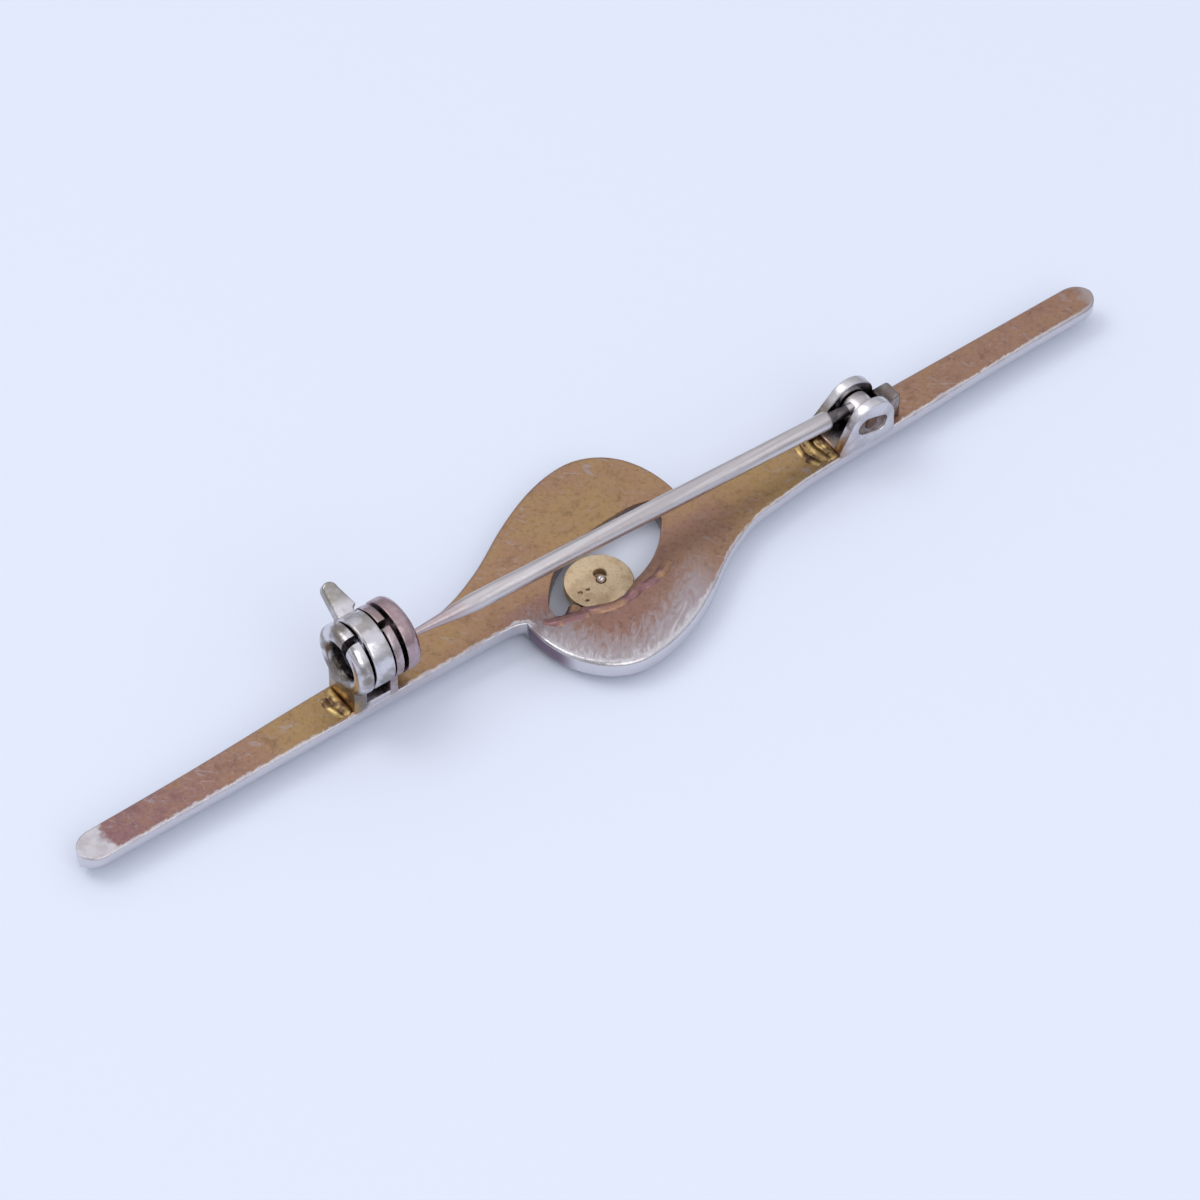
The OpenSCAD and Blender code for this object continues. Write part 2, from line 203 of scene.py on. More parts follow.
class BroochCatchSizes(bpy.types.PropertyGroup):
    """Sizes of the turning safety catch"""

    __annotations__ = fields(
        length_prop,
        front=(-15.9, "Front face of the catch, from the middle of the bar"),
        ring_r=(1.98, "Outer radius of the front ring and the rear collar"),
        ring_t=(0.8, "Length of the front ring"),
        disc_r=(1.95, "Radius of the turning disc"),
        disc_t=(1.14, "Thickness of the turning disc"),
        wall_t=(0.48, "Thickness of the housing's wall"),
        collar_t=(0.9, "Length of the rear collar"),
        sleeve_r=(1.3, "Radius of the turning sleeve"),
        bore_r=(1, "Radius of the bore that the pin lies in"),
        mouth_half=(0.2, "Half the width of the mouth"),
        mouth_y=(0.08, "Middle of the mouth across the bar"),
        lever_reach=(3.8, "Distance of the lever's end from the axis"),
        lever_w=(0.84, "Width of the thumb lever at its round end"),
        lever_root_w=(1.12, "Width of the thumb lever where it leaves the disc"),
        lever_shift=(0.01, "Place of the lever from the disc's middle"),
        lever_flare=(0.8, "Distance to which its rear edge flares out above the wall"),
        lever_clear=(0.1, "Clearance of the flare over the rim of the wall"),
        lever_t=(0.62, "Thickness of the thumb lever"),
        front_gap=(0.16, "Gap in front of the disc"),
        back_gap=(0.08, "Gap behind the disc"),
        collar_gap=(0.22, "Gap in front of the rear collar"),
        foot_w=(2.3, "Width of the housing's foot"),
        foot_y=(0.48, "Middle of the foot across the bar"),
    )
    __annotations__ |= fields(
        angle_prop,
        lever_angle=(30, "Angle of the stored lever above the flat"),
        open_turn=(100, "Turn of the lever that opens the catch"),
    )
    __annotations__ |= fields(
        count_prop,
        turn_segments=(96, "Segments round a turned piece"),
    )


class BroochColours(bpy.types.PropertyGroup):
    """Colours of the metals and their tarnish, and of the painted shade and painted reflections laid on them
    """

    __annotations__ = fields(
        colour_prop,
        silver=((0.68, 0.66, 0.69), "Clean worn silver"),
        bright=((0.66, 0.62, 0.62), "Silver of the pin"),
        grey=((0.42, 0.39, 0.4), "Dull silver"),
        # Umber is also laid low on the catch's front as a painted brown reflection of the bar
        umber=((0.21, 0.175, 0.14), "Brownish grey of the catch's patches"),
        olive=((0.31, 0.285, 0.25), "Greenish grey of the thumb lever"),
        tan=((0.4, 0.24, 0.145), "Main tarnish of the back"),
        # Gold is also laid at the foot of the catch's front as a painted reflection of the bar
        gold=((0.43, 0.285, 0.125), "Yellowest tarnish"),
        mauve=((0.29, 0.16, 0.165), "Reddest tarnish"),
        lilac=((0.42, 0.355, 0.365), "Pale tarnish of the near lobe"),
        rose=((0.39, 0.26, 0.28), "Tarnish of the catch's collar"),
        # Purple is laid as a painted reflection on the wall at the near lobe's end
        purple=((0.13, 0.06, 0.11), "Tarnish of the near lobe's end"),
        # Brown is also painted shade in the corners of the button and in the folds of the solder
        brown=((0.13, 0.075, 0.05), "Darkest tarnish"),
        # Dark is sulphide in the corners and also painted shade there, between the hinge's ears, low in the
        # catch's bore and on the pin's neck
        dark=((0.02, 0.014, 0.014), "Sulphide in the corners"),
        sand=((0.7, 0.56, 0.37), "Pale gold of the button"),
        solder=((0.5, 0.35, 0.15), "Yellow solder of the seams"),
    )


class BroochStageSettings(bpy.types.PropertyGroup):
    """Camera and floor"""

    __annotations__ = fields(
        angle_prop,
        azimuth=(-36.5, "Side that the camera stands on"),
        elevation=(50, "Camera's angle above the floor"),
        field=(12, "Angle across the frame"),
    )
    __annotations__ |= fields(
        length_prop,
        distance=(288, "Distance of the camera from its target"),
        floor_size=(4000, "Side of the square floor"),
    )


GROUPS = {
    "brooch_bar": BroochBarSizes,
    "brooch_button": BroochButtonSizes,
    "brooch_hinge": BroochHingeSizes,
    "brooch_pin": BroochPinSizes,
    "brooch_catch": BroochCatchSizes,
    "brooch_colours": BroochColours,
    "brooch_stage": BroochStageSettings,
}


def own_properties(group):
    """The properties that a group adds to the two that every group has."""
    return [prop for prop in group.bl_rna.properties if prop.identifier not in ("rna_type", "name")]


def sizes(context, name):
    """The values of one property group, with its lengths in millimetres."""
    group = getattr(context.scene, name)
    values = {}
    for prop in own_properties(group):
        value = getattr(group, prop.identifier)
        values[prop.identifier] = value * IN_MM if getattr(prop, "unit", "NONE") == "LENGTH" else value
    return SimpleNamespace(**values)


# Left arm and its lobe, a row for each section across the metal.
# Columns: outer edge x and y, inner edge x and y, thickness, height of the
# straight side, radius of the outer back edge, and how much further out
# the left half goes than the right one
ARM_ROWS = [
    (-30.50, 1.22, -30.50, -0.7, 1.28, 0.45, 0.12, 0),
    (-24.50, 1.32, -24.50, -0.7, 1.30, 0.45, 0.12, 0),
    (-18.00, 1.58, -18.00, -0.7, 1.32, 0.45, 0.12, 0),
    (-12.40, 1.76, -12.40, -0.7, 1.35, 0.46, 0.13, 0.02),
    (-9.90, 2.00, -9.60, -0.7, 1.40, 0.48, 0.15, 0.06),
    (-7.90, 2.28, -7.60, -0.7, 1.46, 0.50, 0.18, 0.18),
    (-6.10, 3.00, -6.00, -0.82, 1.52, 0.55, 0.22, 0.20),
    (-4.95, 3.64, -5.00, -1.40, 1.56, 0.65, 0.26, 0.18),
    (-4.20, 4.14, -4.25, -1.62, 1.60, 0.72, 0.28, 0.14),
    (-3.45, 4.64, -4.08, -0.80, 1.60, 0.78, 0.30, 0.10),
    (-2.55, 5.16, -3.60, -0.12, 1.60, 0.82, 0.30, 0.06),
    (-1.45, 5.68, -2.90, 0.62, 1.60, 0.84, 0.30, 0.06),
    (-0.20, 6.10, -1.95, 1.30, 1.60, 0.84, 0.30, 0.12),
    (1.20, 6.34, -0.80, 1.78, 1.60, 0.84, 0.30, 0.20),
    (2.50, 6.28, 0.50, 2.02, 1.60, 0.84, 0.30, 0.25),
    (3.65, 5.76, 1.75, 2.12, 1.60, 0.83, 0.28, 0.29),
    (4.50, 4.97, 2.90, 2.16, 1.58, 0.80, 0.26, 0.30),
    (5.10, 4.03, 3.75, 2.06, 1.54, 0.76, 0.24, 0.24),
    (5.45, 3.04, 4.40, 1.78, 1.48, 0.70, 0.20, 0.17),
    (5.62, 2.05, 4.90, 1.32, 1.40, 0.64, 0.16, 0.10),
    (5.62, 1.10, 5.20, 0.75, 1.32, 0.60, 0.10, 0.04),
    (5.56, 0.45, 5.34, 0.35, 1.25, 0.58, 0.05, 0),
]
TIP_CUTS = 12
EDGE_FACETS = 6
DOME_FACETS = 22
# Sections at an arm's end that lie inside the other arm, and points laid between two sections
OUTER_END = 9
INNER_END = 6
EDGE_POINTS = 5
OPENING_REACH = 5.4
# Places across the back, as shares of its width, closer together near the edges
BACK_SHARES = (0.02, 0.05, 0.09, 0.15, 0.25, 0.38, 0.5, 0.62, 0.75, 0.85, 0.91, 0.95, 0.98)

# Solder along the seams: radius, smallest share of it, and the points that it follows
SEAMS = {
    "button_solder": [
        (0.5, 0.85, [(-4.9, -1.4, 1.2), (-4.3, -1.8, 1.24), (-3.6, -2.0, 1.22), (-2.7, -2.3, 1.2)]),
        (0.46, 0.85, [(-2.8, -1.3, 0.95), (-3.2, -1.6, 1), (-3.65, -1.8, 1.05)]),
        (0.42, 0.75, [
            (-2.85, -1.9, 1.2), (-2.2, -2.35, 1.34), (-1.3, -2.65, 1.38), (-0.3, -2.6, 1.38),
            (0.6, -2.2, 1.36),
        ]),
        (0.42, 0.75, [(0.1, -2.5, 1.36), (0.9, -2.5, 1.38), (1.8, -2.3, 1.38), (2.6, -1.9, 1.28)]),
    ],
    "catch_solder": [
        (0.42, 0.9, [(-16.0, 1.4, 1.36), (-16.14, 0.6, 1.42), (-16.1, 0, 1.42), (-16, -0.3, 1.3)]),
        (0.36, 0.9, [(-16.6, 1.1, 1.34), (-16.66, 0.5, 1.38), (-16.55, 0, 1.38), (-16.4, -0.35, 1.28)]),
    ],
    "hinge_solder": [
        (0.4, 0.9, [(13.75, 0.6, 1.36), (13.68, -0.4, 1.42), (13.72, -1.5, 1.36)]),
        (0.36, 0.9, [(13.2, 0.6, 1.34), (13.04, 0, 1.4), (13.06, -0.7, 1.4), (13.3, -1.45, 1.34)]),
        (0.34, 0.9, [(12.62, 0.62, 1.34), (12.42, 0, 1.39), (12.42, -0.7, 1.39), (12.72, -1.35, 1.34)]),
    ],
}
SEAM_POINTS = 8

# Casting pits in the button's back: x, y and radius from its middle
PITS = [(-1.2, -0.05, 0.12), (-0.76, -0.1, 0.1), (-1.2, -0.66, 0.09)]
PEG_AT = Vector((0.16, 0.03, 0))
OPEN_AT = Vector((0.36, 0.4, 0))

# Radii of the rounded edges of the fittings, in millimetres; a pair holds those of the front and the rear
EDGES = SimpleNamespace(
    ear=0.09, floor=0.08, stop=0.22, rivet=0.1, foot=0.08, leg=0.1, lever=0.16, button=0.08, hole=0.04,
    knuckle=(0.12, 0.12), sleeve=(0.08, 0.08), wall=(0.07, 0.1), disc=(0.17, 0.07), ring=0.06,
)
# Shares of half their thickness to which the front ring and the rear collar are rounded at their outer faces
RING_ROUND = 0.98
COLLAR_ROUND = 0.9
# How far a foot is sunk into the bar, and how far a cutting tool reaches past what it cuts
SUNK = 0.1
PAST = 1
# Height of the catch's foot above the back
FOOT_RISE = 0.3
# Segments round the button and its seat, a drilled hole, a rivet or a pin, and the smallest round parts
BUTTON_SEGMENTS = 96
HOLE_SEGMENTS = 64
WIRE_SEGMENTS = 48
SMALL_SEGMENTS = 32
# Facets of the rounded faces of the front ring and the rear collar
RING_FACETS = 9
# Voxel in which the beads of a seam are merged, and how often the lump is smoothed
BEAD_VOXEL = 0.045
BEAD_EASE = 10
# Points along a bead and round it
BEAD_STEPS = 90
BEAD_SIDES = 20
# Shoulder between the pin's neck and the wire: distance past the neck, and how much thinner than the wire
SHOULDER = [(0.02, 0.16), (0.07, 0.06), (0.16, 0)]
SWELLING_AT = 0.28
# Tapered end of the pin: share of its length, and how far it has gone from the wire's radius to the point's
TAPER = [(0.14, 0.2), (0.28, 0.48), (0.5, 0.8), (0.75, 0.92)]
RIVET_AXIS = Matrix.Translation(RIVET_AT) @ Matrix.Rotation(math.pi / 2, 4, "Z")
CATCH_AXIS = Matrix.Translation((0, CATCH_AT.y, CATCH_AT.z))
# Marks of each point of the arms: distances from the outer and the inner edges, and 1 at the opening
EDGE_MARKS = ("from_outer", "from_inner", "opening")


def mix(a, b, share):
    return a + (b - a) * share


def smooth_row(rows, i, share):
    """Row between rows i and i + 1, on a curve through all of them."""
    last = len(rows) - 1
    around = [rows[min(max(i + k, 0), last)] for k in (-1, 0, 1, 2)]
    row = []
    for a, b, c, d in zip(*around):
        bend = 2 * a - 5 * b + 4 * c - d
        twist = 3 * b - a - 3 * c + d
        row.append(0.5 * (2 * b + (c - a) * share + bend * share**2 + twist * share**3))
    return row


def arm_sections(bar):
    """Rows for all the sections of an arm, from its round tip on."""
    tip_x = BAR_LOW.x
    first = ARM_ROWS[0]
    half = (bar.arm_tip_y + bar.straight_edge) / 2
    middle = (bar.arm_tip_y - bar.straight_edge) / 2
    rows = []
    for k in range(1, TIP_CUTS):
        angle = math.pi / 2 * k / TIP_CUTS
        x = tip_x + (first[0] - tip_x) * (1 - math.cos(angle))
        y = half * math.sin(angle)
        thick = mix(bar.tip_thick, first[4], math.sin(angle))
        rows.append((x, middle + y, x, middle - y, thick, first[5], first[6], 0))
    for i, (start, end) in enumerate(zip(ARM_ROWS, ARM_ROWS[1:])):
        apart = math.hypot(end[0] - start[0], end[1] - start[1])
        steps = max(1, math.ceil(apart / bar.section_step))
        rows += [smooth_row(ARM_ROWS, i, k / steps) for k in range(steps)]
    rows.append(ARM_ROWS[-1])
    return rows


def arm_section(row, fuller, bar):
    """Outline of one section, from the inner back edge round to the same place."""
    outer = Vector((row[0], row[1], 0))
    inner = Vector((row[2], row[3], 0))
    along = (outer - inner).normalized()
    width = (outer - inner).length + (row[7] if fuller else 0)
    thick, side = row[4], row[5]
    edge_o = min(row[6], width * 0.4)
    edge_i = min(bar.inner_edge, width * 0.3)
    quarter = [math.pi / 2 * k / EDGE_FACETS for k in range(EDGE_FACETS + 1)]
    flat = width - edge_o - edge_i
    places = [(edge_i - edge_i * math.cos(a), -edge_i + edge_i * math.sin(a)) for a in quarter]
    places += [(edge_i + flat * share, 0) for share in BACK_SHARES]
    places += [(width - edge_o + edge_o * math.sin(a), -edge_o + edge_o * math.cos(a)) for a in quarter]
    for k in range(DOME_FACETS + 1):
        a = math.pi * k / DOME_FACETS
        places.append((width / 2 + width / 2 * math.cos(a), -side - (thick - side) * math.sin(a)))
    return [inner + along * across + Z_AXIS * (bar.back_z + up) for across, up in places]


def skin(rings, name):
    """Closed mesh object over a list of sections that have the same number of points."""
    mesh = bmesh.new()
    loops = [[mesh.verts.new(point) for point in ring] for ring in rings]
    for here, there in zip(loops, loops[1:]):
        for j in range(len(here)):
            k = (j + 1) % len(here)
            mesh.faces.new((here[j], here[k], there[k], there[j]))
    mesh.faces.new(list(reversed(loops[0])))
    mesh.faces.new(loops[-1])
    return mesh_object(name, mesh)


def mesh_object(name, mesh):
    """New object from a bmesh, with its faces pointing outwards."""
    bmesh.ops.remove_doubles(mesh, verts=mesh.verts, dist=1e-5)
    bmesh.ops.recalc_face_normals(mesh, faces=mesh.faces)
    data = bpy.data.meshes.new(name)
    mesh.to_mesh(data)
    mesh.free()
    piece = bpy.data.objects.new(name, data)
    bpy.context.scene.collection.objects.link(piece)
    return piece


def bake_modifiers(piece):
    """Turns a piece with its modifiers into a plain mesh."""
    bpy.context.view_layer.update()
    seen = piece.evaluated_get(bpy.context.evaluated_depsgraph_get())
    data = bpy.data.meshes.new_from_object(seen)
    data.name = piece.name
    piece.modifiers.clear()
    old = piece.data
    piece.data = data
    bpy.data.meshes.remove(old)
    return piece


def combine(piece, other, operation):
    """Joins another solid to a piece, or cuts it out, and removes the other one."""
    step = piece.modifiers.new(operation.title(), "BOOLEAN")
    step.operation = operation
    step.solver = "EXACT"
    step.object = other
    bake_modifiers(piece)
    bpy.data.objects.remove(other)
    return piece


def join_all(pieces):
    """One solid from several that overlap."""
    whole = pieces[0]
    for piece in pieces[1:]:
        combine(whole, piece, "UNION")
    return whole


def melt(name, pieces):
    """One smooth lump from several beads that overlap."""
    mesh = bmesh.new()
    for piece in pieces:
        mesh.from_mesh(piece.data)
        bpy.data.objects.remove(piece)
    lump = mesh_object(name, mesh)
    merge = lump.modifiers.new("Merge", "REMESH")
    merge.mode = "VOXEL"
    merge.voxel_size = BEAD_VOXEL
    ease = lump.modifiers.new("Ease", "SMOOTH")
    ease.iterations = BEAD_EASE
    return bake_modifiers(lump)


def soften(piece, width, segments=3):
    """Rounds the sharp edges of a piece."""
    step = piece.modifiers.new("Round edges", "BEVEL")
    step.width = width
    step.segments = segments
    step.limit_method = "ANGLE"
    step.angle_limit = EDGE_ANGLE
    return bake_modifiers(piece)


def extruded(name, outline, height, place):
    """Solid of a flat outline in X and Y, drawn up by a height, then put in place."""
    mesh = bmesh.new()
    floor = [mesh.verts.new(place @ Vector((x, y, 0))) for x, y in outline]
    top = [mesh.verts.new(place @ Vector((x, y, height))) for x, y in outline]
    mesh.faces.new(list(reversed(floor)))
    mesh.faces.new(top)
    for j in range(len(floor)):
        k = (j + 1) % len(floor)
        mesh.faces.new((floor[j], floor[k], top[k], top[j]))
    return mesh_object(name, mesh)


def block(name, low, high):
    """Plain block between two corners."""
    outline = [(low[0], low[1]), (high[0], low[1]), (high[0], high[1]), (low[0], high[1])]
    return extruded(name, outline, high[2] - low[2], Matrix.Translation((0, 0, low[2])))


def turned(name, profile, place, segments):
    """Solid turned round the local X axis: profile holds x and radius, from one end to the other.

    A profile that starts on the axis ends on it too, and any other one is a closed loop.
    """
    mesh = bmesh.new()
    rings = []
    turn = [2 * math.pi * k / segments for k in range(segments)]
    for x, r in profile:
        angles = turn if r else [0]
        rings.append([mesh.verts.new(place @ Vector((x, r * math.cos(a), r * math.sin(a)))) for a in angles])
    pairs = list(zip(rings, rings[1:]))
    if profile[0][1]:
        pairs.append((rings[-1], rings[0]))
    for here, there in pairs:
        for j in range(segments):
            k = (j + 1) % segments
            corners = [here[j % len(here)], here[k % len(here)], there[k % len(there)], there[j % len(there)]]
            mesh.faces.new(list(dict.fromkeys(corners)))
    return mesh_object(name, mesh)


def rod(start, end, radius, place, segments=HOLE_SEGMENTS):
    """Plain full cylinder on the local X axis, to be cut out of a piece."""
    return turned("rod", [(start, 0), (start, radius), (end, radius), (end, 0)], place, segments)


def corner(centre, radius, start, facets=5):
    """Points of a quarter round in a profile, from a start angle in quarter turns."""
    return [
        (
            centre[0] + radius * math.cos(math.pi / 2 * (start + k / facets)),
            centre[1] + radius * math.sin(math.pi / 2 * (start + k / facets)),
        )
        for k in range(facets + 1)
    ]


def ring(name, ends, radii, edges, place, segments, facets=5):
    """Ring turned round the local X axis, with its own edge radii on its front and its rear face."""
    (start, end), (inner, outer), (front, rear) = ends, radii, edges
    profile = corner((start + front, inner + front), front, 2, facets)
    profile += corner((end - rear, inner + rear), rear, 3, facets)
    profile += corner((end - rear, outer - rear), rear, 0, facets)
    profile += corner((start + front, outer - front), front, 1, facets)
    return turned(name, profile, place, segments)


def upwards(point):
    """Matrix that turns the local X axis upwards at a point of the back."""
    return Matrix.Translation((point.x, point.y, 0)) @ Matrix.Rotation(-math.pi / 2, 4, "Y")


def finish_piece(piece, body, material, nodes=()):
    """Brings a piece into metres, shades it, gives it its metal and hangs it on its body."""
    piece.data.transform(Matrix.Scale(MM, 4))
    piece.data.shade_smooth()
    piece.data.set_sharp_from_angle(angle=SMOOTH_ANGLE)
    piece.data.materials.clear()
    piece.data.materials.append(material)
    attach(piece, body)
    if nodes:
        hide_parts(*nodes)
    return piece


class Term:
    """A socket that feeds others. Adding to it, subtracting from it or multiplying it makes a maths node."""

    def __init__(self, wiring, socket):
        self.wiring = wiring
        self.socket = socket

    def __add__(self, other):
        return self.wiring.maths("ADD", self, other)

    def __sub__(self, other):
        return self.wiring.maths("SUBTRACT", self, other)

    def __mul__(self, other):
        return self.wiring.maths("MULTIPLY", self, other)


class Wiring:
    """Short calls for making and linking the nodes of a tree."""

    def __init__(self, tree):
        self.nodes = tree.nodes
        self.links = tree.links

    def node(self, kind, inputs=None, output=0, **settings):
        """Makes a node and gives one of its outputs. An input is a plain value, a Term or a list of them."""
        made = self.nodes.new(kind)
        for name, value in settings.items():
            setattr(made, name, value)
        for name, given in (inputs or {}).items():
            for value in given if isinstance(given, list) else [given]:
                if isinstance(value, Term):
                    self.links.new(value.socket, made.inputs[name])
                else:
                    made.inputs[name].default_value = value
        return Term(self, made.outputs[output])

    def maths(self, operation, a, b=0):
        return self.node("ShaderNodeMath", {0: a, 1: b}, operation=operation)

    def most(self, a, b):
        return self.maths("MAXIMUM", a, b)

    def band(self, value, low, high, share_from=0, share_to=1):
        """Maps a value from low to high onto two shares, smoothly."""
        inputs = {"Value": value, "From Min": low, "From Max": high, "To Min": share_from, "To Max": share_to}
        return self.node("ShaderNodeMapRange", inputs, "Result", interpolation_type="SMOOTHSTEP")


class Metal(Wiring):
    """A material in the making: a metal shader and short calls for the nodes in front of it."""

    def __init__(self, name):
        self.material = bpy.data.materials.new(name)
        self.material.use_nodes = True
        super().__init__(self.material.node_tree)
        self.shader = self.nodes["Principled BSDF"]
        self.shader.inputs["Metallic"].default_value = 1
        self.object_place = self.node("ShaderNodeTexCoord", output="Object")

    def place(self, stretch=(1, 1, 1), turn=0):
        """Object coordinates in millimetres; a pattern on them is stretched along axes turned about Z."""
        scale = tuple(MM * share for share in stretch)
        inputs = {"Vector": self.object_place, "Rotation": (0, 0, turn), "Scale": scale}
        return self.node("ShaderNodeMapping", inputs, vector_type="TEXTURE")

    def noise(self, scale, detail=3, rough=0.55, stretch=(1, 1, 1), turn=0, bend=0):
        inputs = {"Scale": scale, "Detail": detail, "Roughness": rough, "Distortion": bend}
        return self.node("ShaderNodeTexNoise", {"Vector": self.place(stretch, turn), **inputs}, "Fac")

    def along(self, axis):
        """A coordinate in the object's own space, in millimetres; R is the distance from the catch's axis."""
        if axis != "R":
            return self.node("ShaderNodeSeparateXYZ", {0: self.place()}, axis)
        y, z = self.along("Y") - CATCH_AT.y, self.along("Z") - CATCH_AT.z
        return self.maths("SQRT", y * y + z * z)

    def within(self, axis, middle, ends, full):
        """Share that is full near the middle along an axis and ends further out."""
        return self.band(self.maths("ABSOLUTE", self.along(axis) - middle), ends, full)

    def corners(self, reach, open_from, full):
        """Share of the places that see little of their surroundings."""
        seen = self.node("ShaderNodeAmbientOcclusion", {"Distance": reach * MM}, "AO", samples=8)
        return self.band(seen, open_from, full)

    def layers(self, colour, *over):
        """Colour with others laid over it, each with its share."""
        for share, top in over:
            ends = [end if isinstance(end, Term) else (*end, 1) for end in (colour, top)]
            colour = self.node("ShaderNodeMix", {0: share, 6: ends[0], 7: ends[1]}, 2, data_type="RGBA")
        return colour

    def bumps(self, *heights):
        """Normal over several heights, each with its depth in millimetres and its strength."""
        normal = {}
        for height, depth, strength in heights:
            inputs = {"Height": height, "Distance": depth * MM, "Strength": strength, **normal}
            normal = {"Normal": self.node("ShaderNodeBump", inputs)}
        return normal["Normal"]

    def finish(self, colour, rough, normal):
        for name, value in (("Base Color", colour), ("Roughness", rough), ("Normal", normal)):
            self.links.new(value.socket, self.shader.inputs[name])
        return self.material


def tarnished_back(colours):
    """Brown tarnish on the flat back, worn to silver at its near edges, with painted shade on the worn far
    edges and on the walls round the opening, and a painted purple reflection at the near lobe's end; clean
    silver below.
    """
    metal = Metal("tarnished_back")
    noise, band, within, most = metal.noise, metal.band, metal.within, metal.most
    x, y, z = (metal.along(axis) for axis in "XYZ")
    marks = [metal.node("ShaderNodeAttribute", output="Fac", attribute_name=name) for name in EDGE_MARKS]
    from_outer, from_inner, opening = marks
    clouds = noise(0.33, 3, 0.6, stretch=(1.6, 1, 1))
    patches = noise(1.2, 5, 0.62)
    mottles = noise(4.5, 4, 0.62)
    grains = noise(16, 3, 0.6)
    strokes = noise(0.75, 4, 0.55, stretch=(1, 0.42, 1), turn=0.8, bend=2.6)
    dashes = noise(1, 3, 0.5, stretch=(1, 0.4, 1), turn=-0.9, bend=1.8)

    # Regions: the near half, its lobe and the lobe's end, the reddish arms, and the yellow beside a fitting
    near = band(y + x * 0.022, 0.3, -0.3)
    lobe = near * within("X", -1.5, 6.5, 3.6)
    end_of_lobe = near * within("X", 4.5, 3.5, 1)
    red = within("X", -3, 13, 27) * band(x, 10, -20, 0.35, 1)
    by_fitting = most(within("X", 11, 3.2, 1.5), within("X", -18, 3.5, 1.5))

    reach = from_outer + (strokes - 0.5) * 3.4
    shiny = band(reach, 1.0, -0.3, 0, 0.85) * band(x, 3, 1)
    tan = metal.layers(
        colours.tan,
        (most(band(clouds, 0.45, 0.68, 0, 0.6), by_fitting * 0.8), colours.gold),
        (red * band(patches, 0.3, 0.6, 0.45, 1), colours.mauve),
        (most(lobe * 0.55, end_of_lobe * 0.4), colours.mauve),
        (band(patches, 0.52, 0.7, 0, 0.32), colours.brown),
        (band(mottles, 0.5, 0.72, 0, 0.34), colours.brown),
        (band(mottles, 0.44, 0.28, 0, 0.25), colours.lilac),
        (band(dashes, 0.58, 0.7, 0, 0.6) * band(from_outer, 2.6, 0.6, 0.25, 1), colours.lilac),
        (lobe * band(reach, 2.5, 0.8), colours.lilac),
        (lobe * shiny, colours.silver),
    )

    # Bare metal: a ragged rim along the edges, wider at the lobe, and the tips of the arms
    edge = metal.maths("MINIMUM", from_outer, from_inner + opening * 9)
    rag = patches * 0.6 + strokes * 0.5
    wide = (rag - 0.3) * most(near * band(lobe, 0, 1, 0.6, 1.1), 0.3)
    left_tip = band(x + patches * 1.6, -28.9, -29.4)
    right_tip = band(x - patches * 1.2, 30, 30.8, 0, 0.7)
    tips = most(left_tip, right_tip)
    bare = most(band(edge - wide, 0.07, -0.06), tips)
    # The worn rim is painted darker grey-mauve along the far edges as painted shade; the near edges and the
    # tips stay worn silver
    shaded_far_rim = [mix(a, b, 0.5) for a, b in zip(colours.grey, colours.mauve)]
    near_rim = metal.layers(colours.silver, (band(patches, 0.4, 0.66, 0, 0.5), colours.lilac))
    rim = metal.layers(shaded_far_rim, (most(near, tips), near_rim), (band(x, 29, 30.5, 0, 0.7), colours.grey))

    # Walls round the opening: brown with mauve mottles, laid as painted shade
    opening_wall_shade = metal.layers(colours.brown, (band(mottles, 0.4, 0.6), colours.mauve))
    # Painted dark purple reflection on the wall at the near lobe's end
    lobe_end_reflection = band(x, -4.9, -5.4) * band(y, -0.9, -1.2, 0, 0.85)
    wall = metal.layers(colours.silver, (opening * 0.85, opening_wall_shade), (lobe_end_reflection, colours.purple))
    below = band(z, 1.5, 1.4)
    colour = metal.layers(tan, (bare * 0.92, rim), (below, wall))
    fine = [(mottles, 0.01, 0.6), (grains, 0.0015, 0.6)]
    normal = metal.bumps((clouds, 0.06, 0.5), (patches, 0.035, 0.6), (strokes, 0.02, 0.6), *fine)
    return metal.finish(colour, band(most(bare, below), 0, 1, 0.44, 0.26), normal)


def worn_silver(name, colours, base, tint, cloudy, corner_reach, rough=(0.2, 0.34), stains_and_painted_light=(), drawn=0):
    """Fitting silver with faint clouds, dark sulphide and painted shade in its corners, and colours laid in
    given places.

    Each laid colour comes with its strength and the places it is within, each as an axis, a middle,
    the distance from it where it ends and the distance up to which it is full. Some are tarnish, others are
    painted shade and painted reflections.
    Drawn metal has faint streaks along the bar.
    """
    metal = Metal(name)
    clouds = metal.noise(0.9, 3, 0.55)
    mottles = metal.noise(3.6, 4, 0.6)
    grains = metal.noise(14, 3, 0.6)
    colour = metal.layers(base, (metal.band(clouds, 0.42, 0.64, 0, cloudy), tint))
    if drawn:
        streaks = metal.noise(3, 2, 0.5, stretch=(40, 1, 1))
        colour = metal.layers(colour, (metal.band(streaks, 0.42, 0.62, 0, drawn), colours.grey))
    for laid_colour, strength, places in stains_and_painted_light:
        share = metal.band(mottles, 0.3, 0.6, 0.75 * strength, strength)
        for place in places:
            share = share * metal.within(*place)
        colour = metal.layers(colour, (share, laid_colour))
    # Dark in the corners: sulphide, and painted shade where little of the room is seen
    colour = metal.layers(colour, (metal.corners(corner_reach, 0.6, 0.18), colours.dark))
    normal = metal.bumps((clouds, 0.05, 0.5), (mottles, 0.006, 0.5), (grains, 0.0012, 0.6))
    return metal.finish(colour, metal.band(clouds, 0.3, 0.7, *rough), normal)


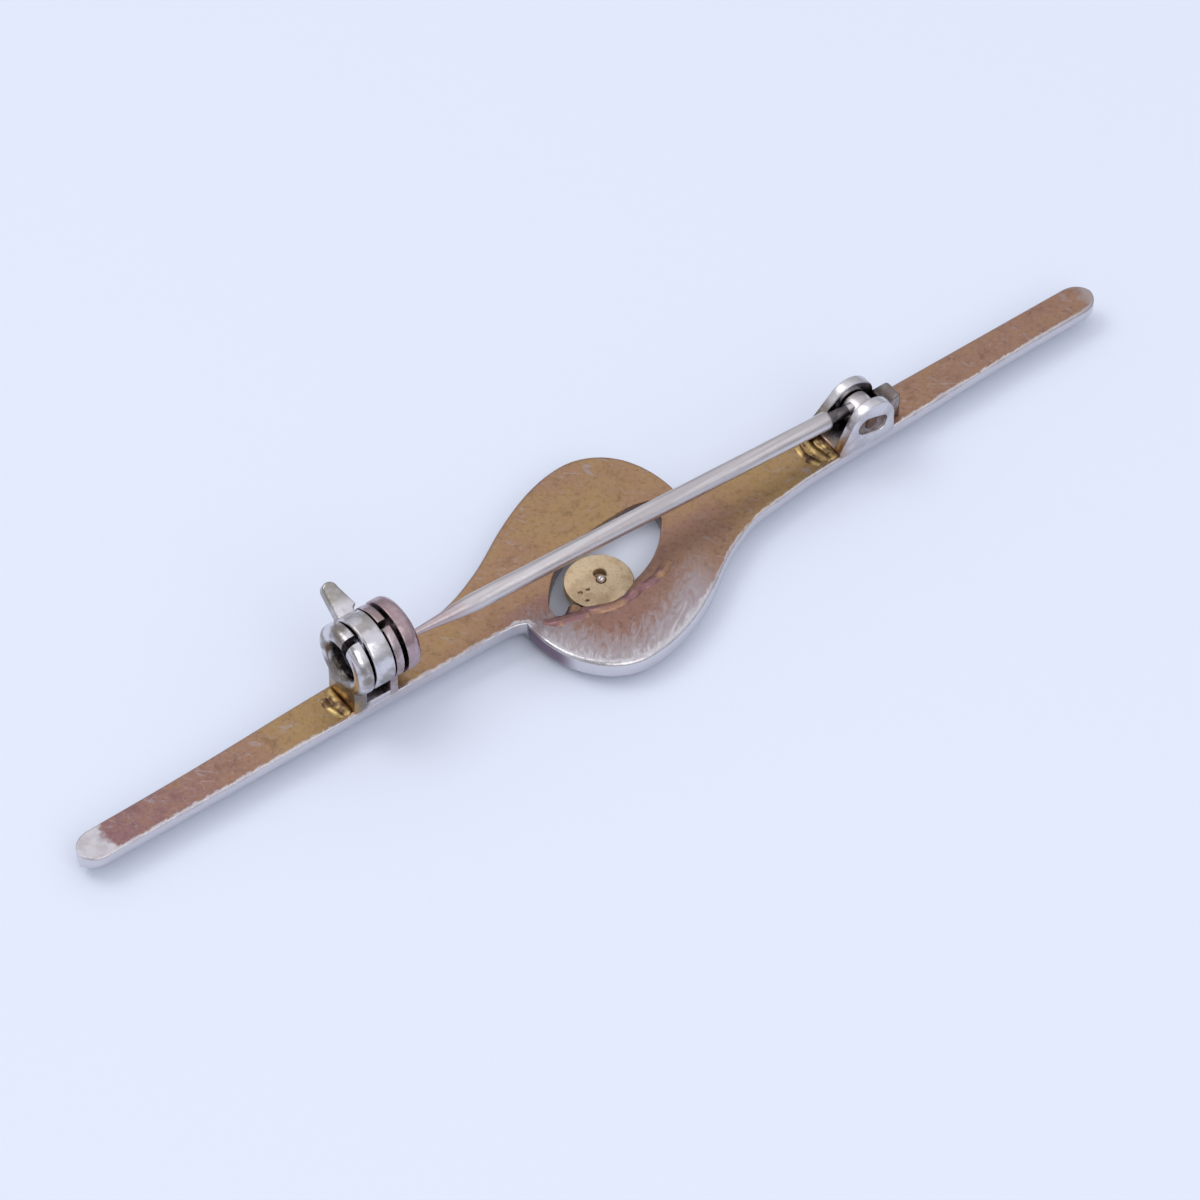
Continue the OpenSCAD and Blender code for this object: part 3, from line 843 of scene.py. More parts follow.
def sand_gold(colours):
    """Pale gold with the grain of its casting sand, and brown painted shade in its corners."""
    metal = Metal("sand_gold")
    clouds = metal.noise(0.9, 4, 0.6)
    grains = metal.noise(9, 4, 0.7)
    specks = metal.noise(6, 2, 0.6)
    colour = metal.layers(
        colours.sand,
        (metal.band(clouds, 0.42, 0.7, 0, 0.5), colours.tan),
        (metal.band(grains, 0.5, 0.68, 0, 0.25), colours.brown),
        (metal.band(specks, 0.64, 0.74, 0, 0.5), colours.brown),
        # Brown in the corners: painted shade
        (metal.corners(0.5, 0.6, 0.2), colours.brown),
    )
    normal = metal.bumps((grains, 0.022, 0.8), (specks, 0.02, 0.8))
    return metal.finish(colour, metal.band(clouds, 0.3, 0.7, 0.5, 0.62), normal)


def seam_solder(name, colours, base, patch):
    """Solder with flux patches and brown painted shade in its folds."""
    metal = Metal(name)
    patches = metal.noise(1.5, 4, 0.6)
    grains = metal.noise(10, 3, 0.6)
    # Brown in the folds: painted shade
    folds = metal.corners(0.4, 0.7, 0.35)
    colour = metal.layers(base, (metal.band(patches, 0.42, 0.62), patch), (folds, colours.brown))
    normal = metal.bumps((patches, 0.03, 0.6), (grains, 0.003, 0.6))
    return metal.finish(colour, metal.band(patches, 0.3, 0.7, 0.34, 0.46), normal)


class Growth(Wiring):
    """A Geometry Nodes tree in the making, with named inputs and one result."""

    def __init__(self, name, inputs):
        self.tree = bpy.data.node_groups.new(name, "GeometryNodeTree")
        sockets = [(title, "INPUT", kind) for title, kind in inputs.items()]
        for title, way, kind in [*sockets, ("Result", "OUTPUT", "Geometry")]:
            self.tree.interface.new_socket(title, in_out=way, socket_type=f"NodeSocket{kind}")
        super().__init__(self.tree)
        outputs = self.nodes.new("NodeGroupInput").outputs
        self.given = {title: Term(self, outputs[title]) for title in inputs}

    def finish(self, geometry, material):
        """Makes the instances real, sets the metal and gives the tree its result."""
        real = self.node("GeometryNodeRealizeInstances", {"Geometry": geometry})
        metal = self.node("GeometryNodeSetMaterial", {"Geometry": real, "Material": material})
        self.links.new(metal.socket, self.nodes.new("NodeGroupOutput").inputs["Result"])
        return self.tree


def swirl_tree(material):
    """Sets the second arm half a turn from the first, joins both and cuts the button's seat."""
    sockets = {"Left arm": "Geometry", "Right arm": "Object", "Turn": "Float"}
    swirl = Growth("Swirl", {**sockets, "Seat": "Vector", "Seat radius": "Float", "Seat depth": "Float"})
    given, node = swirl.given, swirl.node
    other = node("GeometryNodeObjectInfo", {"Object": given["Right arm"]}, "Geometry")
    angles = node("ShaderNodeCombineXYZ", {"Z": given["Turn"]})
    other = node("GeometryNodeTransform", {"Geometry": other, "Rotation": angles})
    exact = {"output": "Mesh", "solver": "EXACT"}
    both = node("GeometryNodeMeshBoolean", {"Mesh 2": [given["Left arm"], other]}, operation="UNION", **exact)
    round_seat = {"Vertices": BUTTON_SEGMENTS, "Radius": given["Seat radius"], "Depth": given["Seat depth"]}
    seat = node("GeometryNodeMeshCylinder", round_seat, "Mesh")
    seat = node("GeometryNodeTransform", {"Geometry": seat, "Translation": given["Seat"]})
    cut = node("GeometryNodeMeshBoolean", {"Mesh 1": both, "Mesh 2": seat}, operation="DIFFERENCE", **exact)
    return swirl.finish(cut, material)


def bead_tree(material):
    """Lays an uneven bead of solder along a line."""
    bead = Growth("Solder bead", {"Line": "Geometry", "Radius": "Float", "Uneven": "Float", "Seed": "Float"})
    given, node = bead.given, bead.node
    line = node("GeometryNodeMeshToCurve", {"Mesh": given["Line"]})
    line = node("GeometryNodeResampleCurve", {"Curve": line, "Count": BEAD_STEPS})
    noise = {"Vector": node("GeometryNodeInputPosition"), "W": given["Seed"], "Scale": 1.4}
    waves = node("ShaderNodeTexNoise", noise, "Fac", noise_dimensions="4D")
    spread = {"Value": waves, "From Min": 0.3, "From Max": 0.7, "To Min": given["Uneven"], "To Max": 1}
    size = node("ShaderNodeMapRange", spread, "Result") * given["Radius"]
    section = node("GeometryNodeCurvePrimitiveCircle", {"Resolution": BEAD_SIDES, "Radius": 1}, "Curve")
    body = {"Curve": line, "Profile Curve": section, "Scale": size, "Fill Caps": True}
    return bead.finish(node("GeometryNodeCurveToMesh", body), material)


def grow(piece, tree, values):
    """Runs a Geometry Nodes tree on a piece with named inputs, and keeps the result as a plain mesh."""
    step = piece.modifiers.new(tree.name, "NODES")
    step.node_group = tree
    for item in tree.interface.items_tree:
        if item.in_out == "INPUT" and item.name in values:
            step[item.identifier] = values[item.name]
    return bake_modifiers(piece)


def line_object(name, points):
    """Mesh of one smooth open line through the points."""
    smooth = [
        smooth_row(points, i, k / SEAM_POINTS) for i in range(len(points) - 1) for k in range(SEAM_POINTS)
    ] + [points[-1]]
    mesh = bmesh.new()
    verts = [mesh.verts.new(point) for point in smooth]
    for a, b in zip(verts, verts[1:]):
        mesh.edges.new((a, b))
    data = bpy.data.meshes.new(name)
    mesh.to_mesh(data)
    mesh.free()
    piece = bpy.data.objects.new(name, data)
    bpy.context.scene.collection.objects.link(piece)
    return piece


def edge_lines(rows):
    """Points along the outer and the inner edges of both arms, short of the ends inside the other arm."""
    outer, inner = [], []
    for turned_half, fuller in ((1, True), (-1, False)):
        for line, kept, column in ((outer, len(rows) - OUTER_END, 0), (inner, len(rows) - INNER_END, 2)):
            edge = []
            for row in rows[:kept]:
                a, b = Vector((row[0], row[1], 0)), Vector((row[2], row[3], 0))
                if column == 0 and fuller:
                    a += (a - b).normalized() * row[7]
                edge.append((a if column == 0 else b) * turned_half)
            for start, end in zip(edge, edge[1:]):
                line += [start.lerp(end, k / EDGE_POINTS) for k in range(EDGE_POINTS)]
    return outer, inner


def mark_edges(piece, rows):
    """Attributes with each point's distance from the arms' edges, and whether it is at the opening."""
    data = piece.data
    marks = {name: data.attributes.new(name, "FLOAT", "POINT").data for name in EDGE_MARKS}
    trees = []
    for line in edge_lines(rows):
        tree = KDTree(len(line))
        for i, point in enumerate(line):
            tree.insert(point, i)
        tree.balance()
        trees.append(tree)
    for vertex in data.vertices:
        place = Vector((vertex.co.x, vertex.co.y, 0))
        far, near = (tree.find(place)[2] for tree in trees)
        marks["from_outer"][vertex.index].value = far
        marks["from_inner"][vertex.index].value = near
        at_opening = near < far and place.length < OPENING_REACH
        marks["opening"][vertex.index].value = 1 if at_opening else 0


class BROOCH_OT_swirl_arms(bpy.types.Operator):
    """Casts the two arms, joins their lobes and cuts the button's seat"""

    bl_idname = "brooch.swirl_arms"
    bl_label = "Swirl Arms"

    def execute(self, context):
        bar = sizes(context, "brooch_bar")
        material = tarnished_back(sizes(context, "brooch_colours"))
        rows = arm_sections(bar)
        left = skin([arm_section(row, True, bar) for row in rows], "swirl_arms")
        right = skin([arm_section(row, False, bar) for row in rows], "right_arm")
        button = (BUTTON_LOW + BUTTON_HIGH) / 2
        grow(left, swirl_tree(material), {
            "Right arm": right,
            "Turn": math.pi,
            "Seat": (button.x, button.y, bar.back_z),
            "Seat radius": (BUTTON_HIGH.x - BUTTON_LOW.x) / 2 + bar.seat_gap,
            "Seat depth": 4 * bar.back_z,
        })
        bpy.data.objects.remove(right)
        mark_edges(left, rows)
        finish_piece(left, "frame", material, ["brooch_frame"])
        return {"FINISHED"}


def ear_outline(hinge, slant, rise):
    """Outline of an ear in the hinge's own X and Z, from the rivet."""
    foot = -(RIVET_AT.z - hinge.back_z)
    start = Vector((-slant, rise + foot))
    turn = math.atan2(start.y, start.x) - math.acos(hinge.ear_r / start.length)
    turn = turn % (2 * math.pi)
    steps = 24
    angles = [turn * k / steps for k in range(steps + 1)]
    top = [(hinge.ear_r * math.cos(a), hinge.ear_r * math.sin(a)) for a in angles]
    return [(-slant, foot), (hinge.ear_r, foot), *top, tuple(start)]


def oval_outline(hinge):
    """Outline of the oval recess in the hinge's own X and Z, from the rivet."""
    steps = 16
    turn = Matrix.Rotation(-hinge.recess_tilt, 2)
    outline = []
    for side in (1, -1):
        for k in range(steps + 1):
            a = math.pi * (k / steps - 0.5)
            point = Vector((hinge.recess_reach + hinge.recess_r * math.cos(a), hinge.recess_r * math.sin(a)))
            outline.append(tuple(turn @ (side * point) - Vector((0, hinge.recess_drop))))
    return outline


def upright(y):
    """Matrix that stands an outline up in X and Z at the rivet, its height running to the near side."""
    return Matrix.Translation((RIVET_AT.x, y, RIVET_AT.z)) @ Matrix.Rotation(math.pi / 2, 4, "X")


class BROOCH_OT_hinge_bracket(bpy.types.Operator):
    """Bends and drills the hinge bracket"""

    bl_idname = "brooch.hinge_bracket"
    bl_label = "Hinge Bracket"

    def execute(self, context):
        hinge = sizes(context, "brooch_hinge")
        bar = sizes(context, "brooch_bar")
        hinge.back_z = bar.back_z
        near_y = RIVET_AT.y - hinge.width / 2
        far_y = RIVET_AT.y + hinge.width / 2
        sunk = bar.back_z - SUNK
        solids = []
        for slant, rise, from_y, dish_y in (
            (hinge.near_slant, hinge.floor_t, near_y + hinge.ear_t, near_y + hinge.recess),
            (hinge.far_slant, hinge.far_rise, far_y, far_y + PAST),
        ):
            ear = extruded("ear", ear_outline(hinge, slant, rise), hinge.ear_t, upright(from_y))
            dish = extruded("dish", oval_outline(hinge), hinge.recess + PAST, upright(dish_y))
            combine(ear, dish, "DIFFERENCE")
            solids.append(soften(ear, EDGES.ear, 4))
        floor = block(
            "hinge_floor",
            (RIVET_AT.x - hinge.near_slant, near_y, sunk),
            (RIVET_AT.x + hinge.ear_r, far_y, bar.back_z + hinge.floor_t),
        )
        stop = block(
            "hinge_stop",
            (RIVET_AT.x + hinge.stop_from, near_y + hinge.ear_t, sunk),
            (RIVET_AT.x + hinge.stop_to, far_y - hinge.ear_t, RIVET_AT.z + hinge.stop_top),
        )
        bracket = join_all([*solids, soften(floor, EDGES.floor), soften(stop, EDGES.stop, 5)])
        bracket.name = "hinge_bracket"
        hole_r = (RIVET_HIGH.x - RIVET_LOW.x) / 2 + bar.seat_gap
        combine(bracket, rod(-3, 3, hole_r, RIVET_AXIS), "DIFFERENCE")
        colours = sizes(context, "brooch_colours")
        stains_and_painted_light = self.stains_and_painted_light(colours, hinge, near_y, far_y)
        material = worn_silver("hinge_silver", colours, colours.silver, colours.grey, 0.5, 1.1, stains_and_painted_light=stains_and_painted_light)
        finish_piece(bracket, "frame", material)
        return {"FINISHED"}

    def stains_and_painted_light(self, colours, hinge, near_y, far_y):
        """Tan by the solder, umber on the far ear, brown at the stop and the rivet, and painted shade between
        the ears.
        """
        inside = hinge.width / 2 - hinge.ear_t
        recess_y = near_y + hinge.recess + 0.07
        x, y, z = RIVET_AT
        stop_end = x + hinge.stop_to
        return [
            (colours.tan, 0.8, [("X", 13.2, 1.4, 0.6)]),
            (colours.umber, 0.8, [("Y", far_y, hinge.ear_t + 0.1, hinge.ear_t), ("X", 13.3, 1.6, 1)]),
            (colours.brown, 0.75, [("X", stop_end, 1.3, 1.1), ("Y", y, inside + 0.1, inside + 0.03)]),
            # Dark between the ears: painted shade
            (colours.dark, 0.8, [("Y", y, inside + 0.03, inside - 0.04), ("X", x, 2, 1.3)]),
            (colours.brown, 0.9, [("Y", recess_y, 0.15, 0.1), ("X", x, 1.12, 1), ("Z", z, 0.9, 0.7)]),
        ]


class BROOCH_OT_hinge_rivet(bpy.types.Operator):
    """Sets the rivet, with its ends rounded over"""

    bl_idname = "brooch.hinge_rivet"
    bl_label = "Hinge Rivet"

    def execute(self, context):
        radius = (RIVET_HIGH.x - RIVET_LOW.x) / 2
        half = (RIVET_HIGH.y - RIVET_LOW.y) / 2
        edge = EDGES.rivet
        profile = [(half, 0)] + corner((half - edge, radius - edge), edge, 0)
        profile += corner((edge - half, radius - edge), edge, 1) + [(-half, 0)]
        colours = sizes(context, "brooch_colours")
        material = worn_silver("rivet_silver", colours, colours.brown, colours.mauve, 0.6, 0.6)
        piece = turned("hinge_rivet_head", profile, RIVET_AXIS, WIRE_SEGMENTS)
        finish_piece(piece, "frame", material, ["hinge_rivet"])
        return {"FINISHED"}


class BROOCH_OT_catch_housing(bpy.types.Operator):
    """Builds the catch's foot, its two uprights and its rings"""

    bl_idname = "brooch.catch_housing"
    bl_label = "Catch Housing"

    def execute(self, context):
        catch = sizes(context, "brooch_catch")
        bar = sizes(context, "brooch_bar")
        segments = catch.turn_segments
        places = catch_places(catch)
        wall_end = places.wall + catch.wall_t
        inner = catch.sleeve_r + sizes(context, "brooch_pin").run_gap
        ends, radii = (catch.front, catch.front + catch.ring_t), (catch.bore_r, catch.ring_r)
        edges = ((catch.ring_r - catch.bore_r) / 2 * RING_ROUND, EDGES.ring)
        front_ring = ring("front_ring", ends, radii, edges, CATCH_AXIS, segments, RING_FACETS)
        wall = ring("wall", (places.wall, wall_end), (inner, catch.disc_r), EDGES.wall, CATCH_AXIS, segments)
        near, far = catch.foot_y - catch.foot_w / 2, catch.foot_y + catch.foot_w / 2
        sunk = bar.back_z - SUNK
        foot = block("catch_housing", (catch.front, near, sunk), (wall_end, far, bar.back_z + FOOT_RISE))
        solids = [soften(foot, EDGES.foot)]
        for start, length, inside, outside in (
            (catch.front, catch.ring_t, catch.bore_r, catch.ring_r),
            (places.wall, catch.wall_t, catch.sleeve_r, catch.disc_r),
        ):
            leg = block("leg", (start, near, sunk), (start + length, far, CATCH_AT.z))
            soften(leg, EDGES.leg, 4)
            core = rod(start - PAST, start + length + PAST, (inside + outside) / 2, CATCH_AXIS, segments)
            solids.append(combine(leg, core, "DIFFERENCE"))
        housing = join_all(solids + [front_ring, wall])
        housing.name = "catch_housing"
        combine(housing, mouth_block(catch), "DIFFERENCE")
        colours = sizes(context, "brooch_colours")
        stains_and_painted_light = [
            # Umber low on the front ring and its leg: a painted brown reflection of the bar
            (colours.umber, 0.8, [("Z", 2.6, 1.3, 0.8), ("X", catch.front, 0.6, 0.3)]),
            # Gold at the foot of the front: a painted reflection of the bar
            (colours.gold, 0.9, [("Z", bar.back_z, 1.1, 0.6), ("X", catch.front, 0.5, 0.2)]),
            (colours.rose, 0.6, [("X", wall_end, catch.wall_t + 0.1, catch.wall_t)]),
            # Dark low in the bore: painted shade
            (colours.dark, 0.9, [("R", 0, catch.bore_r + 0.2, catch.bore_r), ("Z", 3.3, 1.3, 0.9)]),
        ]
        metals = (colours, colours.silver, colours.umber)
        material = worn_silver("housing_silver", *metals, 0.85, 0.7, (0.18, 0.3), stains_and_painted_light)
        finish_piece(housing, "frame", material)
        return {"FINISHED"}


def catch_places(catch):
    """Where the catch's turning and fixed walls start, along the bar."""
    disc = catch.front + catch.ring_t + catch.front_gap
    wall = disc + catch.disc_t + catch.back_gap
    collar = wall + catch.wall_t + catch.collar_gap
    return SimpleNamespace(disc=disc, wall=wall, collar=collar, end=collar + catch.collar_t)


def mouth_block(catch, turn=0):
    """Slot from the catch's bore outwards, straight up or turned about the catch's axis."""
    places = catch_places(catch)
    slot = block(
        "mouth",
        (catch.front - PAST, catch.mouth_y - catch.mouth_half, CATCH_AT.z),
        (places.end + PAST, catch.mouth_y + catch.mouth_half, CATCH_AT.z + catch.ring_r + PAST),
    )
    slot.data.transform(CATCH_AXIS @ Matrix.Rotation(turn, 4, "X") @ CATCH_AXIS.inverted())
    return slot


class BROOCH_OT_catch_rotor(bpy.types.Operator):
    """Turns the catch's sleeve, disc and collar, with the thumb lever"""

    bl_idname = "brooch.catch_rotor"
    bl_label = "Catch Rotor"

    def execute(self, context):
        catch = sizes(context, "brooch_catch")
        places = catch_places(catch)
        bore, segments = catch.bore_r, catch.turn_segments
        collar_edges = (EDGES.ring, (catch.ring_r - bore) / 2 * COLLAR_ROUND)
        sleeve_ends = (places.disc + catch.disc_t / 2, places.collar + catch.collar_t / 2)
        disc_ends = (places.disc, places.disc + catch.disc_t)
        collar_ends = (places.collar, places.end)
        rings = [
            ring(name, ends, (bore, outer), edges, CATCH_AXIS, segments, facets)
            for name, ends, outer, edges, facets in (
                ("catch_sleeve_and_lever", sleeve_ends, catch.sleeve_r, EDGES.sleeve, 5),
                ("disc", disc_ends, catch.disc_r, EDGES.disc, 5),
                ("collar", collar_ends, catch.ring_r, collar_edges, RING_FACETS),
            )
        ]
        rotor = join_all(rings)
        combine(rotor, mouth_block(catch, -catch.open_turn), "DIFFERENCE")
        combine(rotor, self.lever(catch, places), "UNION")
        colours = sizes(context, "brooch_colours")
        stains_and_painted_light = [
            (colours.rose, 0.9, [("X", places.end, catch.collar_t + 0.3, catch.collar_t)]),
            (colours.olive, 0.9, [("Y", CATCH_AT.y + catch.lever_reach, 2, 1.4)]),
        ]
        metals = (colours, colours.silver, colours.umber)
        material = worn_silver("rotor_silver", *metals, 0.6, 0.6, stains_and_painted_light=stains_and_painted_light)
        finish_piece(rotor, "rotor", material, ["catch_rotor"])
        return {"FINISHED"}

    def lever(self, catch, places):
        """Flat tab with a round end and soft edges."""
        half = catch.lever_w / 2
        root = catch.lever_root_w / 2
        end = catch.lever_reach - half
        clear = catch.disc_r + catch.lever_clear
        outline = [(-root, catch.sleeve_r - SUNK), (root, catch.sleeve_r - SUNK)]
        outline += [(root, clear), (catch.lever_flare, clear + catch.lever_clear)]
        steps = 20
        angles = [math.pi * k / steps for k in range(steps + 1)]
        outline += [(half * math.cos(a), end + half * math.sin(a)) for a in angles]
        place = (
            Matrix.Translation((places.disc + catch.disc_t / 2 + catch.lever_shift, CATCH_AT.y, CATCH_AT.z))
            @ Matrix.Rotation(catch.lever_angle, 4, "X")
            @ Matrix.Translation((0, 0, -catch.lever_t / 2))
        )
        return soften(extruded("lever", outline, catch.lever_t, place), EDGES.lever, 5)


class BROOCH_OT_pin_stem(bpy.types.Operator):
    """Draws the pin with its knuckle and its point"""

    bl_idname = "brooch.pin_stem"
    bl_label = "Pin Stem"

    def execute(self, context):
        pin = sizes(context, "brooch_pin")
        hinge = sizes(context, "brooch_hinge")
        straight = pin.length - pin.taper
        point_r = pin.point_r
        root = PIN_MIDDLE - PIN_AXIS * (pin.even_from + straight) / 2
        turn = X_AXIS.rotation_difference(PIN_AXIS).to_matrix().to_4x4()
        profile = [(pin.start, 0), (pin.start, pin.neck_r), (pin.neck_to, pin.neck_r)]
        profile += [(pin.neck_to + past, PIN_R - thinner) for past, thinner in SHOULDER]
        profile += [(pin.neck_to + SWELLING_AT, PIN_R + pin.root), (pin.even_from, PIN_R), (straight, PIN_R)]
        profile += [(straight + pin.taper * share, mix(PIN_R, point_r, gone)) for share, gone in TAPER]
        profile += [(pin.length - point_r, point_r), (pin.length - point_r * 0.3, point_r * 0.7)]
        profile.append((pin.length, 0))
        stem = turned("pin_wire", profile, Matrix.Translation(root) @ turn, WIRE_SEGMENTS)
        half = (hinge.width - 2 * hinge.ear_t - 2 * pin.run_gap) / 2
        hole_r = (RIVET_HIGH.x - RIVET_LOW.x) / 2 + pin.run_gap
        radii = (hole_r, pin.knuckle_r)
        knuckle = ring("knuckle", (-half, half), radii, EDGES.knuckle, RIVET_AXIS, HOLE_SEGMENTS)
        combine(stem, knuckle, "UNION")
        combine(stem, rod(-2, 2, hole_r, RIVET_AXIS), "DIFFERENCE")
        colours = sizes(context, "brooch_colours")
        stains_and_painted_light = [
            (colours.rose, 0.6, [("X", -12, 4.4, 2)]),
            # Dark on the neck between the ears: oxide and painted shade
            (colours.dark, 0.85, [("X", RIVET_AT.x - 1.4, 0.62, 0.5)]),
        ]
        metals = (colours, colours.bright, colours.silver)
        material = worn_silver("pin_silver", *metals, 0.4, 0.5, (0.3, 0.38), stains_and_painted_light, 0.6)
        finish_piece(stem, "pin", material, ["pin_stem"])
        return {"FINISHED"}


class BROOCH_OT_centre_button(bpy.types.Operator):
    """Casts the button with its pits and its open hole"""

    bl_idname = "brooch.centre_button"
    bl_label = "Centre Button"

    def execute(self, context):
        button = sizes(context, "brooch_button")
        bar = sizes(context, "brooch_bar")
        radius = (BUTTON_HIGH.x - BUTTON_LOW.x) / 2
        middle = (BUTTON_LOW + BUTTON_HIGH) / 2
        back = BUTTON_HIGH.z
        edge = EDGES.button
        profile = [(back, 0), (back, radius * 0.5)] + corner((back - edge, radius - edge), edge, 0)
        dome_r = (radius**2 + button.dome**2) / (2 * button.dome)
        dome_at = back - button.rim - button.dome + dome_r
        sweep = math.asin(radius / dome_r)
        steps = 20
        angles = [sweep * (1 - k / steps) for k in range(steps)]
        profile += [(dome_at - dome_r * math.cos(a), dome_r * math.sin(a)) for a in angles]
        profile.append((dome_at - dome_r, 0))
        piece = turned("button", profile, upwards(middle), BUTTON_SEGMENTS)
        holes = [
            (PEG_AT.x, PEG_AT.y, button.peg_r + bar.seat_gap, button.peg_depth),
            (OPEN_AT.x, OPEN_AT.y, button.hole_r, button.peg_depth),
        ]
        holes += [(x, y, r, button.pit_depth) for x, y, r in PITS]
        lip = EDGES.hole
        for x, y, r, depth in holes:
            low = back - depth
            profile = [(low, 0), (low, r * 0.8), (low + lip, r), (back - lip, r), (back, r + lip)]
            profile += [(back + PAST, r + lip), (back + PAST, 0)]
            tool = turned("tool", profile, upwards(middle + Vector((x, y, 0))), SMALL_SEGMENTS)
            combine(piece, tool, "DIFFERENCE")
        material = sand_gold(sizes(context, "brooch_colours"))
        finish_piece(piece, "frame", material, ["centre_button"])
        return {"FINISHED"}


class BROOCH_OT_button_peg(bpy.types.Operator):
    """Sets the peg with its low round head"""

    bl_idname = "brooch.button_peg"
    bl_label = "Button Peg"

    def execute(self, context):
        low, high = box_mm("button_peg")
        radius = (high.x - low.x) / 2
        head = corner((high.z - radius, 0), radius, 0, 8)
        profile = [(low.z, 0), (low.z, radius), *head[:0:-1], (high.z, 0)]
        piece = turned("peg", profile, upwards((low + high) / 2), SMALL_SEGMENTS)
        colours = sizes(context, "brooch_colours")
        material = worn_silver("peg_silver", colours, colours.bright, colours.tan, 0.3, 0.2)
        finish_piece(piece, "frame", material, ["button_peg"])
        return {"FINISHED"}


class BROOCH_OT_solder_seams(bpy.types.Operator):
    """Runs solder along the button's lip and round the feet of the hinge and the catch"""

    bl_idname = "brooch.solder_seams"
    bl_label = "Solder Seams"

    def execute(self, context):
        colours = sizes(context, "brooch_colours")
        metals = {"button_solder": (colours.mauve, colours.tan)}
        for name, beads in SEAMS.items():
            material = seam_solder(name, colours, *metals.get(name, (colours.solder, colours.brown)))
            tree = bead_tree(material)
            pieces = []
            for seed, (radius, uneven, points) in enumerate(beads):
                values = {"Radius": radius, "Uneven": uneven, "Seed": float(seed)}
                pieces.append(grow(line_object(name, points), tree, values))
            finish_piece(melt(name, pieces), "frame", material)
        return {"FINISHED"}


# Lamps: place and size in metres, power in watts
LAMPS = {
    "key": ((-0.16, 0.26, 0.5), 0.3, 0.6),
    "near_fill": ((-0.1, -0.42, 0.42), 0.45, 0.9),
}
# Point that the camera looks at, in millimetres, and the frame's shift from it, as shares of its width
TARGET = Vector((-1.1, -0.78, 1.6))
FRAME_SHIFT = (0.0025, -0.0167)
FLOOR_COLOUR = (0.79, 0.84, 0.96, 1)
# Light of the room: height above the floor, from the horizon up, and colour
ROOM_LIGHT = [(0, (0.42, 0.43, 0.47, 1)), (0.8, (0.97, 0.98, 1.04, 1))]


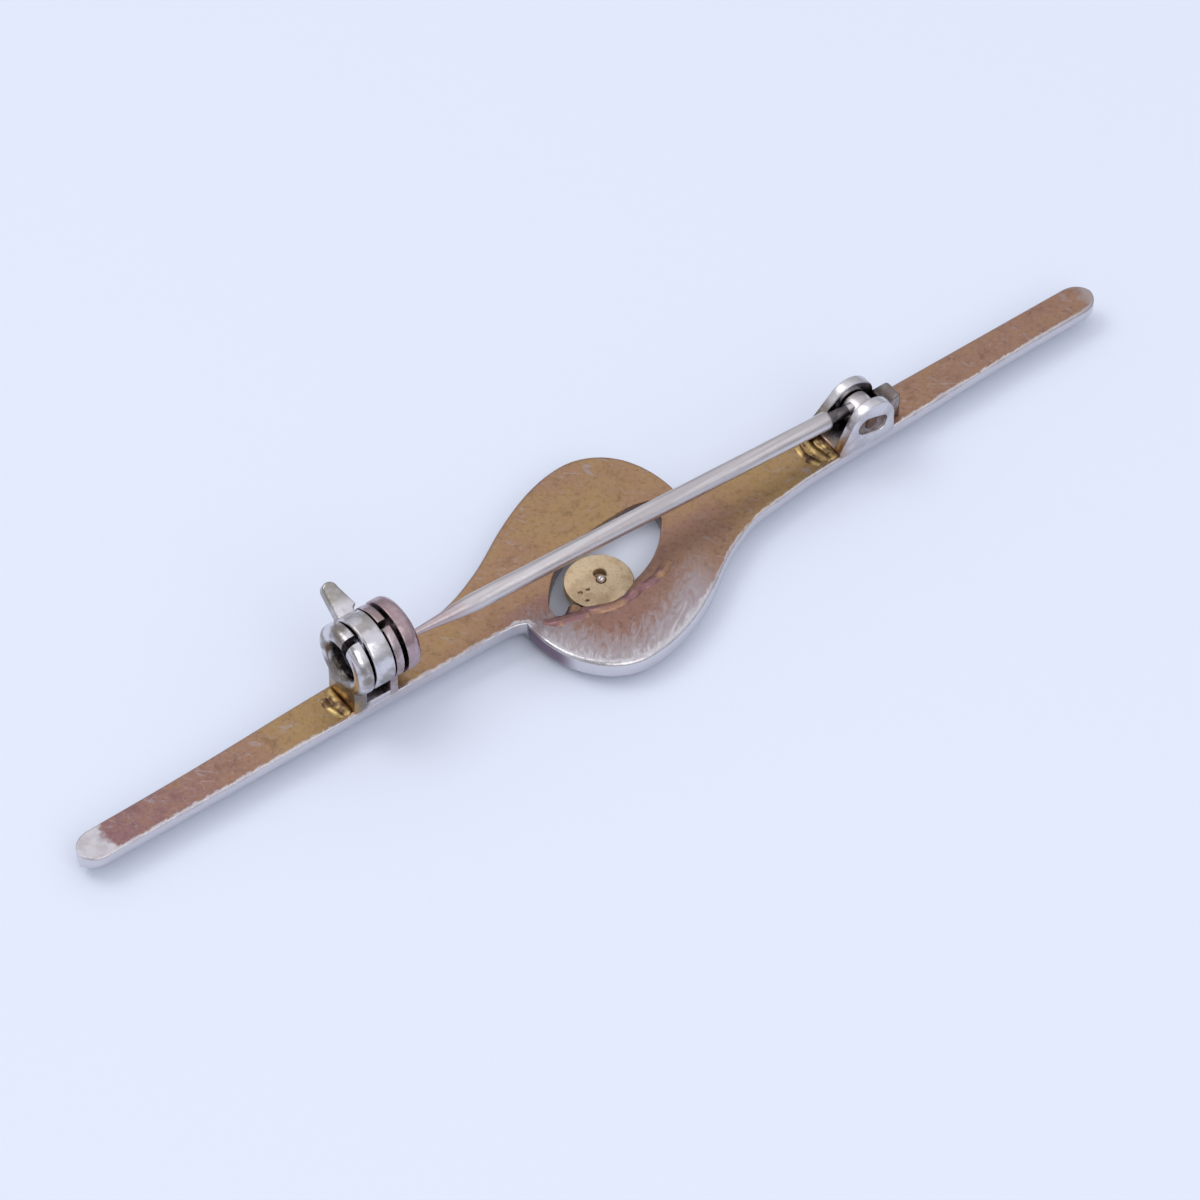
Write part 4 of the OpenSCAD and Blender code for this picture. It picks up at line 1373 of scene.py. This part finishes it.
class BROOCH_OT_stage(bpy.types.Operator):
    """Lays the floor and sets the lights and the camera"""

    bl_idname = "brooch.stage"
    bl_label = "Stage"

    def execute(self, context):
        stage = sizes(context, "brooch_stage")
        scene = context.scene
        scene.view_settings.view_transform = "Standard"
        self.floor(stage)
        for name, lamp in LAMPS.items():
            self.light(name, *lamp)
        data = bpy.data.cameras.new("camera")
        data.sensor_width = 36
        data.lens = data.sensor_width / 2 / math.tan(stage.field / 2)
        data.shift_x, data.shift_y = FRAME_SHIFT
        data.clip_start = 0.01
        camera = bpy.data.objects.new("camera", data)
        scene.collection.objects.link(camera)
        side = Vector((math.sin(stage.azimuth), -math.cos(stage.azimuth), 0))
        back = side * math.cos(stage.elevation) + Z_AXIS * math.sin(stage.elevation)
        self.world(scene, back)
        place = Matrix.Translation((TARGET + back * stage.distance) * MM)
        camera.matrix_world = place @ back.to_track_quat("Z", "Y").to_matrix().to_4x4()
        scene.camera = camera
        return {"FINISHED"}

    def floor(self, stage):
        half = stage.floor_size / 2 * MM
        mesh = bmesh.new()
        corners = ((-half, -half, 0), (half, -half, 0), (half, half, 0), (-half, half, 0))
        mesh.faces.new([mesh.verts.new(point) for point in corners])
        floor = mesh_object("floor", mesh)
        material = bpy.data.materials.new("pale_floor")
        material.use_nodes = True
        shader = material.node_tree.nodes["Principled BSDF"]
        shader.inputs["Base Color"].default_value = FLOOR_COLOUR
        shader.inputs["Roughness"].default_value = 0.7
        floor.data.materials.append(material)

    def world(self, scene, viewer):
        """Room that is bright overhead, dimmer at the horizon and on the side where the viewer stands."""
        world = bpy.data.worlds.new("soft_room")
        scene.world = world
        world.use_nodes = True
        room = Wiring(world.node_tree)
        place = room.node("ShaderNodeTexCoord", output="Generated")
        height = room.node("ShaderNodeSeparateXYZ", {0: place}, "Z")
        ramp = room.nodes.new("ShaderNodeValToRGB")
        for element, (height_up, colour) in zip(ramp.color_ramp.elements, ROOM_LIGHT):
            element.position = height_up
            element.color = colour
        room.links.new(height.socket, ramp.inputs["Fac"])
        towards = room.node("ShaderNodeVectorMath", {0: place, 1: viewer}, "Value", operation="DOT_PRODUCT")
        shade = room.band(towards, 0.8, 0.97, 0.92, 0.25)
        background = room.nodes["Background"]
        room.links.new(ramp.outputs["Color"], background.inputs["Color"])
        room.links.new(shade.socket, background.inputs["Strength"])

    def light(self, name, place, size, power):
        data = bpy.data.lights.new(name, "AREA")
        data.size = size
        data.energy = power
        lamp = bpy.data.objects.new(name, data)
        lamp.location = place
        lamp.rotation_euler = Vector(place).to_track_quat("Z", "Y").to_euler()
        bpy.context.scene.collection.objects.link(lamp)


OPERATORS = [
    BROOCH_OT_swirl_arms,
    BROOCH_OT_hinge_bracket,
    BROOCH_OT_hinge_rivet,
    BROOCH_OT_catch_housing,
    BROOCH_OT_catch_rotor,
    BROOCH_OT_pin_stem,
    BROOCH_OT_centre_button,
    BROOCH_OT_button_peg,
    BROOCH_OT_solder_seams,
    BROOCH_OT_stage,
]


class BROOCH_PT_panel(bpy.types.Panel):
    """Lists the brooch's sizes and pieces"""

    bl_label = "Bar Brooch"
    bl_space_type = "VIEW_3D"
    bl_region_type = "UI"
    bl_category = "Brooch"

    def draw(self, context):
        for operator in OPERATORS:
            self.layout.operator(operator.bl_idname)
        for name in GROUPS:
            group = getattr(context.scene, name)
            box = self.layout.box()
            for prop in own_properties(group):
                box.prop(group, prop.identifier)


def register():
    for name, group in GROUPS.items():
        bpy.utils.register_class(group)
        setattr(bpy.types.Scene, name, PointerProperty(type=group))
    for item in OPERATORS + [BROOCH_PT_panel]:
        bpy.utils.register_class(item)


def unregister():
    for item in reversed(OPERATORS + [BROOCH_PT_panel]):
        bpy.utils.unregister_class(item)
    for name, group in reversed(GROUPS.items()):
        delattr(bpy.types.Scene, name)
        bpy.utils.unregister_class(group)


def main():
    register()
    for operator in OPERATORS:
        group, name = operator.bl_idname.split(".")
        getattr(getattr(bpy.ops, group), name)()


if __name__ == "__main__":
    main()
